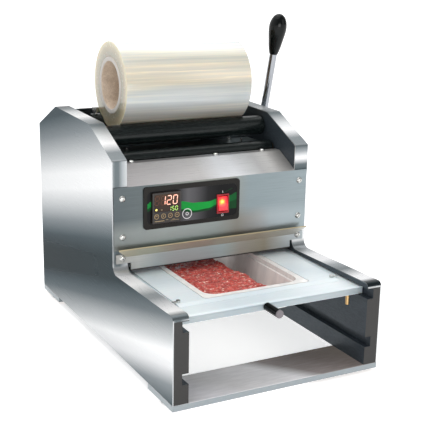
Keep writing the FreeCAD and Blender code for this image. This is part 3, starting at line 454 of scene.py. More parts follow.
def minced_beef():
    """Raw minced beef: moist strands from deep to bright red, flecked with pale fat."""
    mat, tree, bsdf, place = material("beef_minced_raw", Roughness=0.32, Subsurface_Weight=0.12,
                                      Subsurface_Scale=0.003, Coat_Weight=0.35,
                                      Coat_Roughness=0.18)
    bsdf.inputs["Subsurface Radius"].default_value = (1.0, 0.3, 0.2)
    lean = grain(tree, place, (5, 5, 5), 4.0)
    fat = grain(tree, place, (7.0, 3.2, 3.2), 5.0, 0.66)
    fine = grain(tree, place, (1.2, 1.2, 1.2), 3.0)
    colour = node(tree, "ShaderNodeValToRGB", {0: lean}, stops=[
        (0.30, "8c2620"), (0.45, "b23a32"), (0.58, "c44e43"), (0.72, "d2695c")]).outputs[0]
    pale = node(tree, "ShaderNodeValToRGB", {0: fat}, stops=[
        (0.58, (0, 0, 0, 1)), (0.635, (1, 1, 1, 1))]).outputs[0]
    colour = mixed(tree, pale, colour, linear("f4dccb"))
    tree.links.new(colour, bsdf.inputs["Base Color"])
    tree.links.new(spread(tree, fine, 0.22, 0.5), bsdf.inputs["Roughness"])
    bump(tree, bsdf, fine, 0.35, 0.5)
    return mat


def lidding_film():
    """Clear lidding film wound tight: pearly cream with long streaks along the roll, painted shade
    and reflection from its bottom to its top, painted warm glints round its middle, and ivory
    where the cut edges stack at its ends."""
    mat, tree, bsdf, place = material("polyester_lidding_film", Roughness=0.20, Coat_Weight=0.5,
                                      Coat_Roughness=0.06, Subsurface_Weight=0.15,
                                      Subsurface_Scale=0.006)
    streak = grain(tree, place, (260, 5, 5), 3.0, 0.55)
    broad = grain(tree, place, (300, 30, 30), 1.0)
    low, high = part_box("film_winding")
    mid = (low + high) / 2
    r = (high.z - low.z) / 2
    up = along(tree, place, (0, 0, 1), mid.z - r, mid.z + r)
    wander = spread(tree, broad, -0.05, 0.05)
    # painted shade and reflection: dark at the bottom of the roll, white at its top
    side = node(tree, "ShaderNodeValToRGB", {0: maths(tree, "ADD", up, wander)}, stops=[
        (0.0, "6e6b62"), (0.12, "9c9890"), (0.35, "cdd2d4"), (0.46, "bcbfbc"), (0.54, "c4c0b4"),
        (0.67, "dcd5c6"), (0.82, "c8c9c1"), (0.88, "e4e2d6"), (0.95, "f4f3f0"),
        (1.0, "f2f3f6")]).outputs[0]
    fine = node(tree, "ShaderNodeValToRGB", {0: streak}, stops=[
        (0.38, "c9cdcd"), (0.5, "e6e5df"), (0.60, "fff4dc")]).outputs[0]
    side = mixed(tree, 0.45, side, fine, "MULTIPLY")
    # painted warm glints in a band round the middle of the roll
    warm_glint = spread(tree, grain(tree, place, (120, 2.5, 2.5), 3.0, 0.6), 0.0, 0.55, (0.60, 0.74))
    glint_band = maths(tree, "MULTIPLY", spread(tree, up, 0.0, 1.0, (0.50, 0.58)),
                  spread(tree, up, 1.0, 0.0, (0.70, 0.80)), clamp=True)
    side = mixed(tree, maths(tree, "MULTIPLY", warm_glint, glint_band), side, linear("fff0c8"))
    rings = grain(tree, place, (40, 1.1, 1.1), 3.0)
    axis_only = node(tree, "ShaderNodeVectorMath", {0: place, 1: (0, 1, 1)},
                     operation="MULTIPLY").outputs[0]
    out = node(tree, "ShaderNodeVectorMath", {0: axis_only, 1: (0, mid.y, mid.z)},
               operation="DISTANCE").outputs["Value"]
    ends = node(tree, "ShaderNodeValToRGB", {0: spread(tree, out, 0.0, 1.0, (r * 0.62, r))},
                stops=[(0.0, "615f51"), (0.3, "757161"), (0.65, "968b74"),
                       (0.92, "bab294"), (1.0, "d2cdae")]).outputs[0]
    ends = mixed(tree, spread(tree, rings, 0.0, 0.3), ends, linear("d8cfb0"))
    nx = normal_part(tree, 0)
    colour = mixed(tree, spread(tree, nx, 0.0, 1.0, (0.45, 0.7)), side, ends)
    tree.links.new(colour, bsdf.inputs["Base Color"])
    tree.links.new(spread(tree, streak, 0.12, 0.30), bsdf.inputs["Roughness"])
    bump(tree, bsdf, streak, 0.12, 0.35)
    return mat


def core_board():
    """Spiral wound kraft board: warm brown and speckled with fibres, greyer at the cut ends."""
    mat, tree, bsdf, place = material("kraft_board_spiral_wound", Roughness=0.85)
    fibre = grain(tree, place, (1.4, 1.4, 1.4), 4.0)
    soft = grain(tree, place, (14, 14, 14), 2.0)
    colour = mixed(tree, spread(tree, soft, 0.0, 1.0), linear("d6c3ae"), linear("efdfcd"))
    colour = mixed(tree, spread(tree, fibre, 0.0, 0.45), colour, linear("8f8479"), "MULTIPLY")
    nx = normal_part(tree, 0)
    colour = mixed(tree, spread(tree, nx, 0.0, 1.0, (0.45, 0.7)), colour, linear("b9b5b0"))
    tree.links.new(colour, bsdf.inputs["Base Color"])
    bump(tree, bsdf, fibre, 0.25, 0.6)
    return mat


def lit_red_polycarbonate():
    """Red polycarbonate rocker with a neon behind it: a hot spot that fades to clear red."""
    mat, tree, bsdf, place = material("polycarbonate_red_lit", Roughness=0.15, Coat_Weight=0.5)
    low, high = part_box("rocker_button")
    at = Vector(((low.x + high.x) / 2 - 1.5 * MM, low.y, low.z + (high.z - low.z) * 0.66))
    far = node(tree, "ShaderNodeVectorMath", {0: place, 1: at}, operation="DISTANCE")
    blot = grain(tree, place, (5, 5, 7), 2.0)
    d = maths(tree, "ADD", far.outputs["Value"], maths(tree, "MULTIPLY", blot, 5 * MM))
    glow = node(tree, "ShaderNodeValToRGB", {0: maths(tree, "DIVIDE", d, 16 * MM)}, stops=[
        (0.20, "fff4c8"), (0.34, "ffc43a"), (0.46, "f5523e"), (0.70, "e3182c"),
        (1.0, "b80f1e")]).outputs[0]
    tree.links.new(glow, bsdf.inputs["Base Color"])
    tree.links.new(glow, bsdf.inputs["Emission Color"])
    bsdf.inputs["Emission Strength"].default_value = 0.75
    return mat


def glowing(name, hexcode, strength):
    """Light from a display segment behind smoked plastic, slightly uneven along it."""
    mat, tree, bsdf, place = material(name, Roughness=0.4)
    uneven = grain(tree, place, (1.5, 1.5, 1.5), 1.0)
    colour = mixed(tree, spread(tree, uneven, 0.0, 0.25), linear(hexcode), linear("ffffff"))
    tree.links.new(colour, bsdf.inputs["Base Color"])
    tree.links.new(colour, bsdf.inputs["Emission Color"])
    bsdf.inputs["Emission Strength"].default_value = strength
    return mat


def printed(name, hexcode, rough=0.35):
    """Screen printed ink on polyester: flat colour with a faint mesh in it."""
    return moulded(name, hexcode, rough, 0.4, depth=0.01, spec=0.15)


def overlay_black():
    """Polyester overlay, gloss black, printed with a soft grey sheen left of its middle."""
    mat, tree, bsdf, place = material("polyester_overlay_black", Roughness=0.3,
                                      Specular_IOR_Level=0.15)
    low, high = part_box("control_plate")
    t = along(tree, place, (1, 0, 0), low.x, high.x)
    colour = node(tree, "ShaderNodeValToRGB", {0: t}, stops=[
        (0.0, "0c0d0e"), (0.33, "232326"), (0.45, "5a5a5d"), (0.52, "505053"), (0.66, "1e1e20"),
        (0.78, "0b0b0d")]).outputs[0]
    fine = grain(tree, place, (0.5, 0.5, 0.5), 1.0)
    colour = mixed(tree, spread(tree, fine, 0.0, 0.12), colour, linear("8a8a8a"), "MULTIPLY")
    tree.links.new(colour, bsdf.inputs["Base Color"])
    return mat


def swoosh_green():
    """Green ink: bright through the middle, darker towards its right-hand end and lower edge."""
    mat, tree, bsdf, place = material("ink_green_printed", Roughness=0.35,
                                      Specular_IOR_Level=0.15)
    low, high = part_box("control_plate")
    t = along(tree, place, (1, 0, 0), low.x, high.x)
    colour = node(tree, "ShaderNodeValToRGB", {0: t}, stops=[
        (0.0, "078033"), (0.4, "0c8f38"), (0.68, "0a9a3a"), (0.78, "066a2c"),
        (1.0, "034a22")]).outputs[0]
    fine = grain(tree, place, (0.6, 0.6, 0.6), 1.0)
    colour = mixed(tree, spread(tree, fine, 0.0, 0.12), colour, linear("8a8a8a"), "MULTIPLY")
    tree.links.new(colour, bsdf.inputs["Base Color"])
    return mat


FINISHES = {
    "graphite": graphite_anodised,
    "stainless_polished": ground_stainless,
    "stainless_satin": panel_stainless,
    "zinc": lambda: machined("steel_zinc_bright", "cfd0cd", 0.24, 0.8, "a09c94"),
    "black_enamel": lambda: moulded("enamel_black_stoved", "1a1815", 0.34, 0.8, spec=0.2),
    "black_plastic": lambda: moulded("abs_black_moulded", "16110e", 0.36, 0.5, 0.1,
                                     other="241b16"),
    "key_grey": lambda: moulded("silicone_key_dark", "2e2119", 0.42, 0.5),
    "rocker_red": lit_red_polycarbonate,
    "gloss_black": lambda: moulded("phenolic_black_polished", "020405", 0.10, 1.5, 0.0, 0.005,
                                   "060b0b", 0.2),
    "rubber_black": lambda: moulded("nitrile_rubber_black", "141414", 0.8, 0.7, depth=0.06),
    "roller_black": roller_black,
    "chrome": chrome_plate,
    "steel": lambda: machined("steel_turned_bright", "8f9195", 0.34),
    "spring_steel": lambda: machined("steel_spring_drawn", "73767b", 0.32, 0.3),
    "aluminium": lambda: machined("aluminium_milled", "c3c6ca", 0.36, 0.6),
    "bronze": lambda: machined("bronze_sintered", "a8824c", 0.42),
    "brass": lambda: machined("brass_turned", "c9a877", 0.30, 0.5, "a8917a"),
    "insulation": lambda: moulded("calcium_silicate_board", "cfc7b0", 0.85, 1.2, depth=0.1),
    "carrier_white": white_acetal,
    "silicone": lambda: moulded("silicone_translucent", "c6c7c4", 0.5, 0.5),
    "tray_clear": tray_polypropylene,
    "meat": minced_beef,
    "cardboard": core_board,
    "film": lidding_film,
    "grey_plastic": lambda: moulded("nylon_grey_moulded", "6d676b", 0.45, 0.6, 0.1,
                                    other="857f84"),
}
def red_bezel():
    return moulded("polycarbonate_red_clear", "c01420", 0.25, 0.5, 0.2, 0.01, "8a0f18", 0.3)


OWN_FINISH = {"rocker_frame": red_bezel, "hood": hood_stainless, "apron": apron_stainless,
              "film_lip": lip_stainless, "base_plates": plate_stainless,
              "rear_cover": rear_stainless}
made = {}


def finish(name, maker):
    if name not in made:
        made[name] = maker()
    return made[name]


# ---- mesh tools -----------------------------------------------------------------------------
def piece(name, verts, faces, mat, body, smooth=False):
    mesh = bpy.data.meshes.new(name)
    mesh.from_pydata([tuple(v) for v in verts], [], faces)
    mesh.validate()
    if smooth:
        mesh.shade_smooth()
    mesh.materials.append(mat)
    obj = bpy.data.objects.new(name, mesh)
    bpy.context.scene.collection.objects.link(obj)
    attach(obj, body)
    return obj


def lathe(profile, origin, axis, steps=96):
    """Vertices and quads of a closed profile [(distance along axis, radius)] turned round it."""
    axis = axis.normalized()
    side = axis.orthogonal().normalized()
    other = axis.cross(side)
    verts, faces, n = [], [], len(profile)
    for s in range(steps):
        a = 2 * math.pi * s / steps
        out = side * math.cos(a) + other * math.sin(a)
        verts += [origin + axis * d + out * r for d, r in profile]
    for s in range(steps):
        t = (s + 1) % steps
        faces += [(s * n + i, s * n + (i + 1) % n, t * n + (i + 1) % n, t * n + i)
                  for i in range(n)]
    return verts, faces


def rounded_ring(r_in, r_out, half, edge, rings=0):
    """Profile of a tube with rounded rims; rings adds shallow turns on its end faces."""
    def end(sign):
        pts = []
        for k in range(5):
            a = math.pi / 2 * k / 4
            pts.append((sign * (half - edge + edge * math.sin(a)),
                        r_out - edge + edge * math.cos(a)))
        for k in range(1, rings):
            r = r_out - edge - (r_out - r_in - 2 * edge) * k / rings
            pts.append((sign * (half - (0.25 * MM if k % 2 else 0.0)), r))
        for k in range(5):
            a = math.pi / 2 * k / 4
            pts.append((sign * (half - edge + edge * math.cos(a)),
                        r_in + edge - edge * math.sin(a)))
        return pts
    return end(1) + end(-1)[::-1]


def flat_strip(points, y, depth):
    """A thin printed strip in the XZ plane from (x, z_low, z_high) rows, all in metres."""
    verts, faces = [], []
    for x, low, high in points:
        verts += [(x, y, low), (x, y, high), (x, y + depth, low), (x, y + depth, high)]
    n = len(points)
    for i in range(n - 1):
        a, b = 4 * i, 4 * i + 4
        faces += [(a, b, b + 1, a + 1), (a + 2, a + 3, b + 3, b + 2),
                  (a, a + 2, b + 2, b), (a + 1, b + 1, b + 3, a + 3)]
    last = 4 * n - 4
    faces += [(0, 1, 3, 2), (last, last + 2, last + 3, last + 1)]
    return verts, faces


def polygon_plate(outline, y, depth):
    """Extrudes a closed (x, z) outline back from y."""
    n = len(outline)
    verts = [(x, y, z) for x, z in outline] + [(x, y + depth, z) for x, z in outline]
    faces = [tuple(range(n)), tuple(range(2 * n - 1, n - 1, -1))]
    faces += [(i, i + n, (i + 1) % n + n, (i + 1) % n) for i in range(n)]
    return verts, faces


def rounded_outline(x0, x1, z0, z1, r, steps=6):
    pts = []
    for cx, cz, start in ((x1 - r, z1 - r, 0), (x0 + r, z1 - r, 90), (x0 + r, z0 + r, 180),
                          (x1 - r, z0 + r, 270)):
        for k in range(steps + 1):
            a = math.radians(start + 90 * k / steps)
            pts.append((cx + r * math.cos(a), cz + r * math.sin(a)))
    return pts


def flat_ring(cx, cz, r, width, y, depth, steps=40):
    verts, faces = [], []
    for k in range(steps):
        a = 2 * math.pi * k / steps
        for rr, yy in ((r, y), (r - width, y), (r - width, y + depth), (r, y + depth)):
            verts.append((cx + rr * math.cos(a), yy, cz + rr * math.sin(a)))
    for k in range(steps):
        a, b = 4 * k, 4 * ((k + 1) % steps)
        faces += [(a + i, a + (i + 1) % 4, b + (i + 1) % 4, b + i) for i in range(4)]
    return verts, faces


def merge(parts):
    verts, faces = [], []
    for v, f in parts:
        faces += [tuple(i + len(verts) for i in face) for face in f]
        verts += list(v)
    return verts, faces


# seven-segment shapes: each segment's centre and direction on a 1 x 2 cell
SEGMENTS = {"a": (0.5, 2.0, 0), "b": (1.0, 1.5, 1), "c": (1.0, 0.5, 1), "d": (0.5, 0.0, 0),
            "e": (0.0, 0.5, 1), "f": (0.0, 1.5, 1), "g": (0.5, 1.0, 0)}
DIGITS = {"0": "abcdef", "1": "bc", "2": "abged", "3": "abgcd", "4": "fgbc", "5": "afgcd",
          "6": "afgedc", "7": "abc", "8": "abcdefg", "9": "abcdfg"}


def digit(char, x, z, width, height, stroke, y, depth):
    parts = []
    for name in DIGITS[char]:
        u, v, upright = SEGMENTS[name]
        cx, cz = x + (u - 0.5) * width, z + (v - 1.0) * height / 2
        half = (height / 2 if upright else width) / 2 - stroke * 0.35
        s = stroke / 2
        pts = [(-half, 0), (-half + s, s), (half - s, s),
               (half, 0), (half - s, -s), (-half + s, -s)]
        if upright:
            pts = [(-b, a) for a, b in pts]
        lean = 0.08
        parts.append(polygon_plate([(cx + a + lean * (cz + b - z), cz + b) for a, b in pts],
                                   y, depth))
    return parts


# ---- properties -----------------------------------------------------------------------------
class StageSizes(bpy.types.PropertyGroup):
    lens: FloatProperty(name="Lens", description="Focal length for a 36 mm wide sensor",
                        default=80.0, min=20.0, max=200.0)
    azimuth: FloatProperty(name="Azimuth", description="Turn of the view about the upright",
                           default=math.radians(-28.06), subtype="ANGLE")
    elevation: FloatProperty(name="Elevation", description="Height of the view above level",
                             default=math.radians(15.24), subtype="ANGLE")
    roll: FloatProperty(name="Roll", description="Turn of the camera about its line of sight",
                        default=math.radians(1.05), subtype="ANGLE")
    place: FloatVectorProperty(name="Camera place", description="Camera, from the side panels' "
                               "lower front edge at mid width", size=3, subtype="TRANSLATION",
                               default=(-0.676, -1.061, 0.5885))
    floor: FloatProperty(name="Floor", description="Side of the floor sheet", default=60.0,
                         unit="LENGTH", min=2.0)
    table: FloatProperty(name="Light table", description="Light given off by the floor",
                         default=0.55, min=0.0)
    sky: FloatProperty(name="Surround", description="Strength of the surround in front",
                       default=0.42, min=0.0)
    sky_back: FloatProperty(name="Surround behind", description="Strength of the surround behind",
                            default=1.15, min=0.0)
    sun: FloatProperty(name="Sun", description="Strength of the broad light from above",
                       default=0.9, min=0.0)
    key: FloatProperty(name="Key light", description="Power of the overhead soft box in watts",
                       default=6.0, min=0.0)
    fill: FloatProperty(name="Fill light", description="Power of the front soft box in watts",
                        default=3.0, min=0.0)
    low: FloatProperty(name="Low light", description="Power of the soft box before the bay",
                       default=6.2, min=0.0)


class FilmSizes(bpy.types.PropertyGroup):
    edge: FloatProperty(name="Rim radius", description="Rounding of the roll's outer rims",
                        default=0.8 * MM, unit="LENGTH", min=0.1 * MM)
    turns: IntProperty(name="End rings", description="Shallow rings on each end of the roll",
                       default=18, min=2)
    core_edge: FloatProperty(name="Core rim", description="Rounding of the core's cut ends",
                             default=0.9 * MM, unit="LENGTH", min=0.1 * MM)


class MeatSizes(bpy.types.PropertyGroup):
    strand: FloatProperty(name="Strand", description="Thickness of one strand of mince",
                          default=3.3 * MM, unit="LENGTH", min=1 * MM)
    count: IntProperty(name="Strands", description="How many strands lie on the surface",
                       default=900, min=10)
    voxel: FloatProperty(name="Voxel", description="Cell that melts the strands together",
                         default=1.0 * MM, unit="LENGTH", min=0.3 * MM)
    seed: IntProperty(name="Seed", description="Picks one lie of the strands", default=7)


class ControlSizes(bpy.types.PropertyGroup):
    upper: StringProperty(name="Upper reading", description="Digits on the large display",
                          default="120")
    lower: StringProperty(name="Lower reading", description="Digits on the small display",
                          default="150")
    upper_height: FloatProperty(name="Upper digits", description="Height of the large digits",
                                default=15.5 * MM, unit="LENGTH", min=3 * MM)
    lower_height: FloatProperty(name="Lower digits", description="Height of the small digits",
                                default=7.6 * MM, unit="LENGTH", min=2 * MM)
    ink: FloatProperty(name="Ink", description="Thickness of a printed layer",
                       default=0.08 * MM, unit="LENGTH", min=0.01 * MM)
    lit: BoolProperty(name="Lit", description="Show the displays lit", default=True)


class SpringSizes(bpy.types.PropertyGroup):
    wire: FloatProperty(name="Wire", description="Diameter of the spring wire",
                        default=2.0 * MM, unit="LENGTH", min=0.5 * MM)
    turns: FloatProperty(name="Turns", description="Working turns of each return spring",
                         default=6.5, min=2.0)


# ---- operators ------------------------------------------------------------------------------
class SEALER_OT_stage(bpy.types.Operator):
    """Floor, surround, soft lights and the camera"""
    bl_idname = "sealer.stage"
    bl_label = "Stage"

    def execute(self, context):
        p = context.scene.sealer_stage
        scene = context.scene
        scene.view_settings.view_transform = "Standard"
        cam = bpy.data.objects.new("camera", bpy.data.cameras.new("camera"))
        scene.collection.objects.link(cam)
        cam.data.lens, cam.data.sensor_width = p.lens, 36.0
        cam.data.clip_end = 30.0
        az, el, ro = p.azimuth, p.elevation, p.roll
        back = Vector((math.sin(az) * math.cos(el), -math.cos(az) * math.cos(el), math.sin(el)))
        right = (-back).cross(Z).normalized()
        up = right.cross(-back)
        r2 = right * math.cos(ro) + up * math.sin(ro)
        u2 = up * math.cos(ro) - right * math.sin(ro)
        at = from_front(0, 0, 0) + Vector(p.place)
        turn = Matrix((r2, u2, back)).transposed().to_4x4()
        cam.matrix_world = Matrix.Translation(at) @ turn
        scene.camera = cam

        half = p.floor / 2
        mesh = bpy.data.meshes.new("floor")
        mesh.from_pydata([(-half, -half, 0), (half, -half, 0), (half, half, 0), (-half, half, 0)],
                         [], [(0, 1, 2, 3)])
        floor = bpy.data.objects.new("floor", mesh)
        scene.collection.objects.link(floor)
        mat, tree, bsdf, place = material("acrylic_light_table_opal", Roughness=0.9)
        soft = grain(tree, place, (900, 900, 900), 1.0)
        tree.links.new(mixed(tree, spread(tree, soft, 0.0, 1.0), linear("e8e8e8"),
                             linear("ececec")), bsdf.inputs["Base Color"])
        bsdf.inputs["Emission Color"].default_value = linear("ffffff")
        bsdf.inputs["Emission Strength"].default_value = p.table
        mesh.materials.append(mat)

        world = bpy.data.worlds.new("surround")
        scene.world = world
        world.use_nodes = True
        tree = world.node_tree
        tree.nodes["Background"].inputs[0].default_value = linear("ffffff")
        ray = node(tree, "ShaderNodeTexCoord").outputs["Generated"]
        toward = node(tree, "ShaderNodeVectorMath", {0: ray, 1: (-0.35, 0.90, 0.10)},
                      operation="DOT_PRODUCT").outputs["Value"]
        tree.links.new(spread(tree, toward, p.sky, p.sky_back, (-0.4, 0.5)),
                       tree.nodes["Background"].inputs[1])
        sun = bpy.data.objects.new("sun", bpy.data.lights.new("sun", "SUN"))
        scene.collection.objects.link(sun)
        sun.data.energy, sun.data.angle = p.sun, math.radians(60)
        sun.rotation_euler = Vector((0.15, 0.25, 1.0)).to_track_quat("Z", "Y").to_euler()

        def soft_box(name, at, aim, size, power):
            light = bpy.data.objects.new(name, bpy.data.lights.new(name, "AREA"))
            scene.collection.objects.link(light)
            light.data.shape, light.data.size, light.data.size_y = "RECTANGLE", size[0], size[1]
            light.data.energy = power
            light.location = at
            light.rotation_euler = (Vector(aim) - Vector(at)).to_track_quat("-Z", "Y").to_euler()

        mid = (CAD_BOX[0] + CAD_BOX[1]) / 2 if isinstance(CAD_BOX[0], Vector) else Vector(
            [(a + b) / 2 for a, b in zip(CAD_BOX[0], CAD_BOX[1])])
        soft_box("overhead", mid + Vector((-0.4, -0.1, 1.5)), mid, (1.6, 1.2), p.key)
        soft_box("front_right", mid + Vector((1.3, -1.4, 0.7)), mid, (1.0, 1.0), p.fill)
        bay = from_front(0, 60, 20)
        soft_box("front_low", bay + Vector((-0.2, -1.3, 0.35)), bay, (0.9, 0.5), p.low)
        return {"FINISHED"}


class SEALER_OT_frame_finishes(bpy.types.Operator):
    """Real finishes on every piece that is carried over from the frame"""
    bl_idname = "sealer.frame_finishes"
    bl_label = "Frame finishes"

    def execute(self, context):
        for sub in frame["record"]["subparts"]:
            name, slot = sub["node"], sub["material_slot"]
            maker = OWN_FINISH.get(name, FINISHES[slot])
            mat = finish(name if name in OWN_FINISH else slot, maker)
            obj = frame["nodes"][name]
            obj.data.materials.clear()
            obj.data.materials.append(mat)
        return {"FINISHED"}


class SEALER_OT_film_roll(bpy.types.Operator):
    """The wound film with ringed ends, and its board core"""
    bl_idname = "sealer.film_roll"
    bl_label = "Film roll"

    def execute(self, context):
        p = context.scene.sealer_film
        low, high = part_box("film_winding")
        core_low, core_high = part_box("film_core")
        mid = centre("film_winding")
        r_out, r_core = (high.z - low.z) / 2, (core_high.z - core_low.z) / 2
        half = (high.x - low.x) / 2
        v, f = lathe(rounded_ring(r_core + 0.02 * MM, r_out, half, p.edge, p.turns), mid, X, 160)
        roll = piece("wound_film", v, f, finish("film", lidding_film), "film_roll", True)
        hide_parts("film_winding")
        bore = min(math.hypot(c.co.y - mid.y, c.co.z - mid.z)
                   for c in frame["nodes"]["film_core"].data.vertices)
        core_half = (core_high.x - core_low.x) / 2
        v, f = lathe(rounded_ring(bore, r_core, core_half, p.core_edge), mid, X, 128)
        core = piece("board_core", v, f, finish("cardboard", core_board), "film_roll",
                     True)
        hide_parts("film_core")
        return {"FINISHED"}


class SEALER_OT_minced_meat(bpy.types.Operator):
    """Minced beef: strands laid over the CAD lump and melted into one skin"""
    bl_idname = "sealer.minced_meat"
    bl_label = "Minced meat"

    def execute(self, context):
        p = context.scene.sealer_meat
        rng = random.Random(p.seed)
        source = frame["nodes"]["minced_meat"]
        low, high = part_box("minced_meat")
        bm = bmesh.new()
        bm.from_mesh(source.data)
        mid = (low + high) / 2
        for vert in bm.verts:
            vert.co = mid + (vert.co - mid) * 0.982
            vert.co.z -= 0.8 * MM
        lump = bpy.data.meshes.new("lump")
        bm.to_mesh(lump)
        bm.free()
        base = bpy.data.objects.new("lump", lump)
        context.scene.collection.objects.link(base)
        context.view_layer.update()
        parts = [([v.co.copy() for v in lump.vertices], [tuple(q.vertices) for q in lump.polygons])]
        r, sides, steps = p.strand / 2, 7, 9
        margin = r + 0.5 * MM
        laid = 0
        for _ in range(p.count * 3):
            if laid >= p.count:
                break
            x = rng.uniform(low.x + margin, high.x - margin)
            y = rng.uniform(low.y + margin, high.y - margin)
            heading = rng.uniform(0, 2 * math.pi)
            bend = rng.uniform(-0.16, 0.16) / (2 * MM)
            length = rng.uniform(7, 20) * MM
            lift = rng.uniform(-1.2, 0.25) * MM
            path = []
            for k in range(steps):
                hit, at, normal, _i = base.ray_cast(Vector((x, y, high.z + 0.05)), -Z)
                if not hit or not low.y + margin < y < high.y - margin or x < low.x + margin:
                    break
                wave = noise.noise(Vector((x, y, 0)) / (11 * MM)) * 1.3 * MM
                path.append(at + normal * (lift + wave))
                heading += bend * length / steps
                x += math.cos(heading) * length / steps
                y += math.sin(heading) * length / steps
            if len(path) < 4:
                continue
            laid += 1
            verts, faces = [], []
            for k, at in enumerate(path):
                run = (path[min(k + 1, len(path) - 1)] - path[max(k - 1, 0)]).normalized()
                side = run.cross(Z).normalized()
                over = side.cross(run)
                end = math.sin(math.pi * min(1, (min(k, len(path) - 1 - k) + 0.6) / 3) / 2)
                rr = r * end * (1 + 0.15 * math.sin(k * 1.7 + heading))
                verts += [at + side * rr * math.cos(2 * math.pi * s / sides)
                          + over * rr * math.sin(2 * math.pi * s / sides) for s in range(sides)]
            for k in range(len(path) - 1):
                a, b = k * sides, (k + 1) * sides
                faces += [(a + s, a + (s + 1) % sides, b + (s + 1) % sides, b + s)
                          for s in range(sides)]
            faces += [tuple(range(sides))[::-1],
                      tuple(range((len(path) - 1) * sides, len(path) * sides))]
            parts.append((verts, faces))
        bpy.data.objects.remove(base)
        verts, faces = merge(parts)
        raw = bpy.data.meshes.new("mince")
        raw.from_pydata([tuple(v) for v in verts], [], faces)
        obj = bpy.data.objects.new("mince", raw)
        context.scene.collection.objects.link(obj)
        melt = obj.modifiers.new("melt", "REMESH")
        melt.mode, melt.voxel_size = "VOXEL", p.voxel
        ease = obj.modifiers.new("ease", "SMOOTH")
        ease.factor, ease.iterations = 0.5, 2
        done = bpy.data.meshes.new_from_object(
            obj.evaluated_get(context.evaluated_depsgraph_get()))
        bpy.data.objects.remove(obj)
        top = high.z + 3.4 * MM
        for vert in done.vertices:
            c = vert.co
            c.x, c.y = min(max(c.x, low.x), high.x), min(max(c.y, low.y), high.y)
            c.z = min(max(c.z, low.z), top)
        done.materials.clear()
        done.materials.append(finish("meat", minced_beef))
        done.shade_smooth()
        meat = bpy.data.objects.new("beef_mince", done)
        context.scene.collection.objects.link(meat)
        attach(meat, "carrier")
        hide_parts("minced_meat")
        return {"FINISHED"}


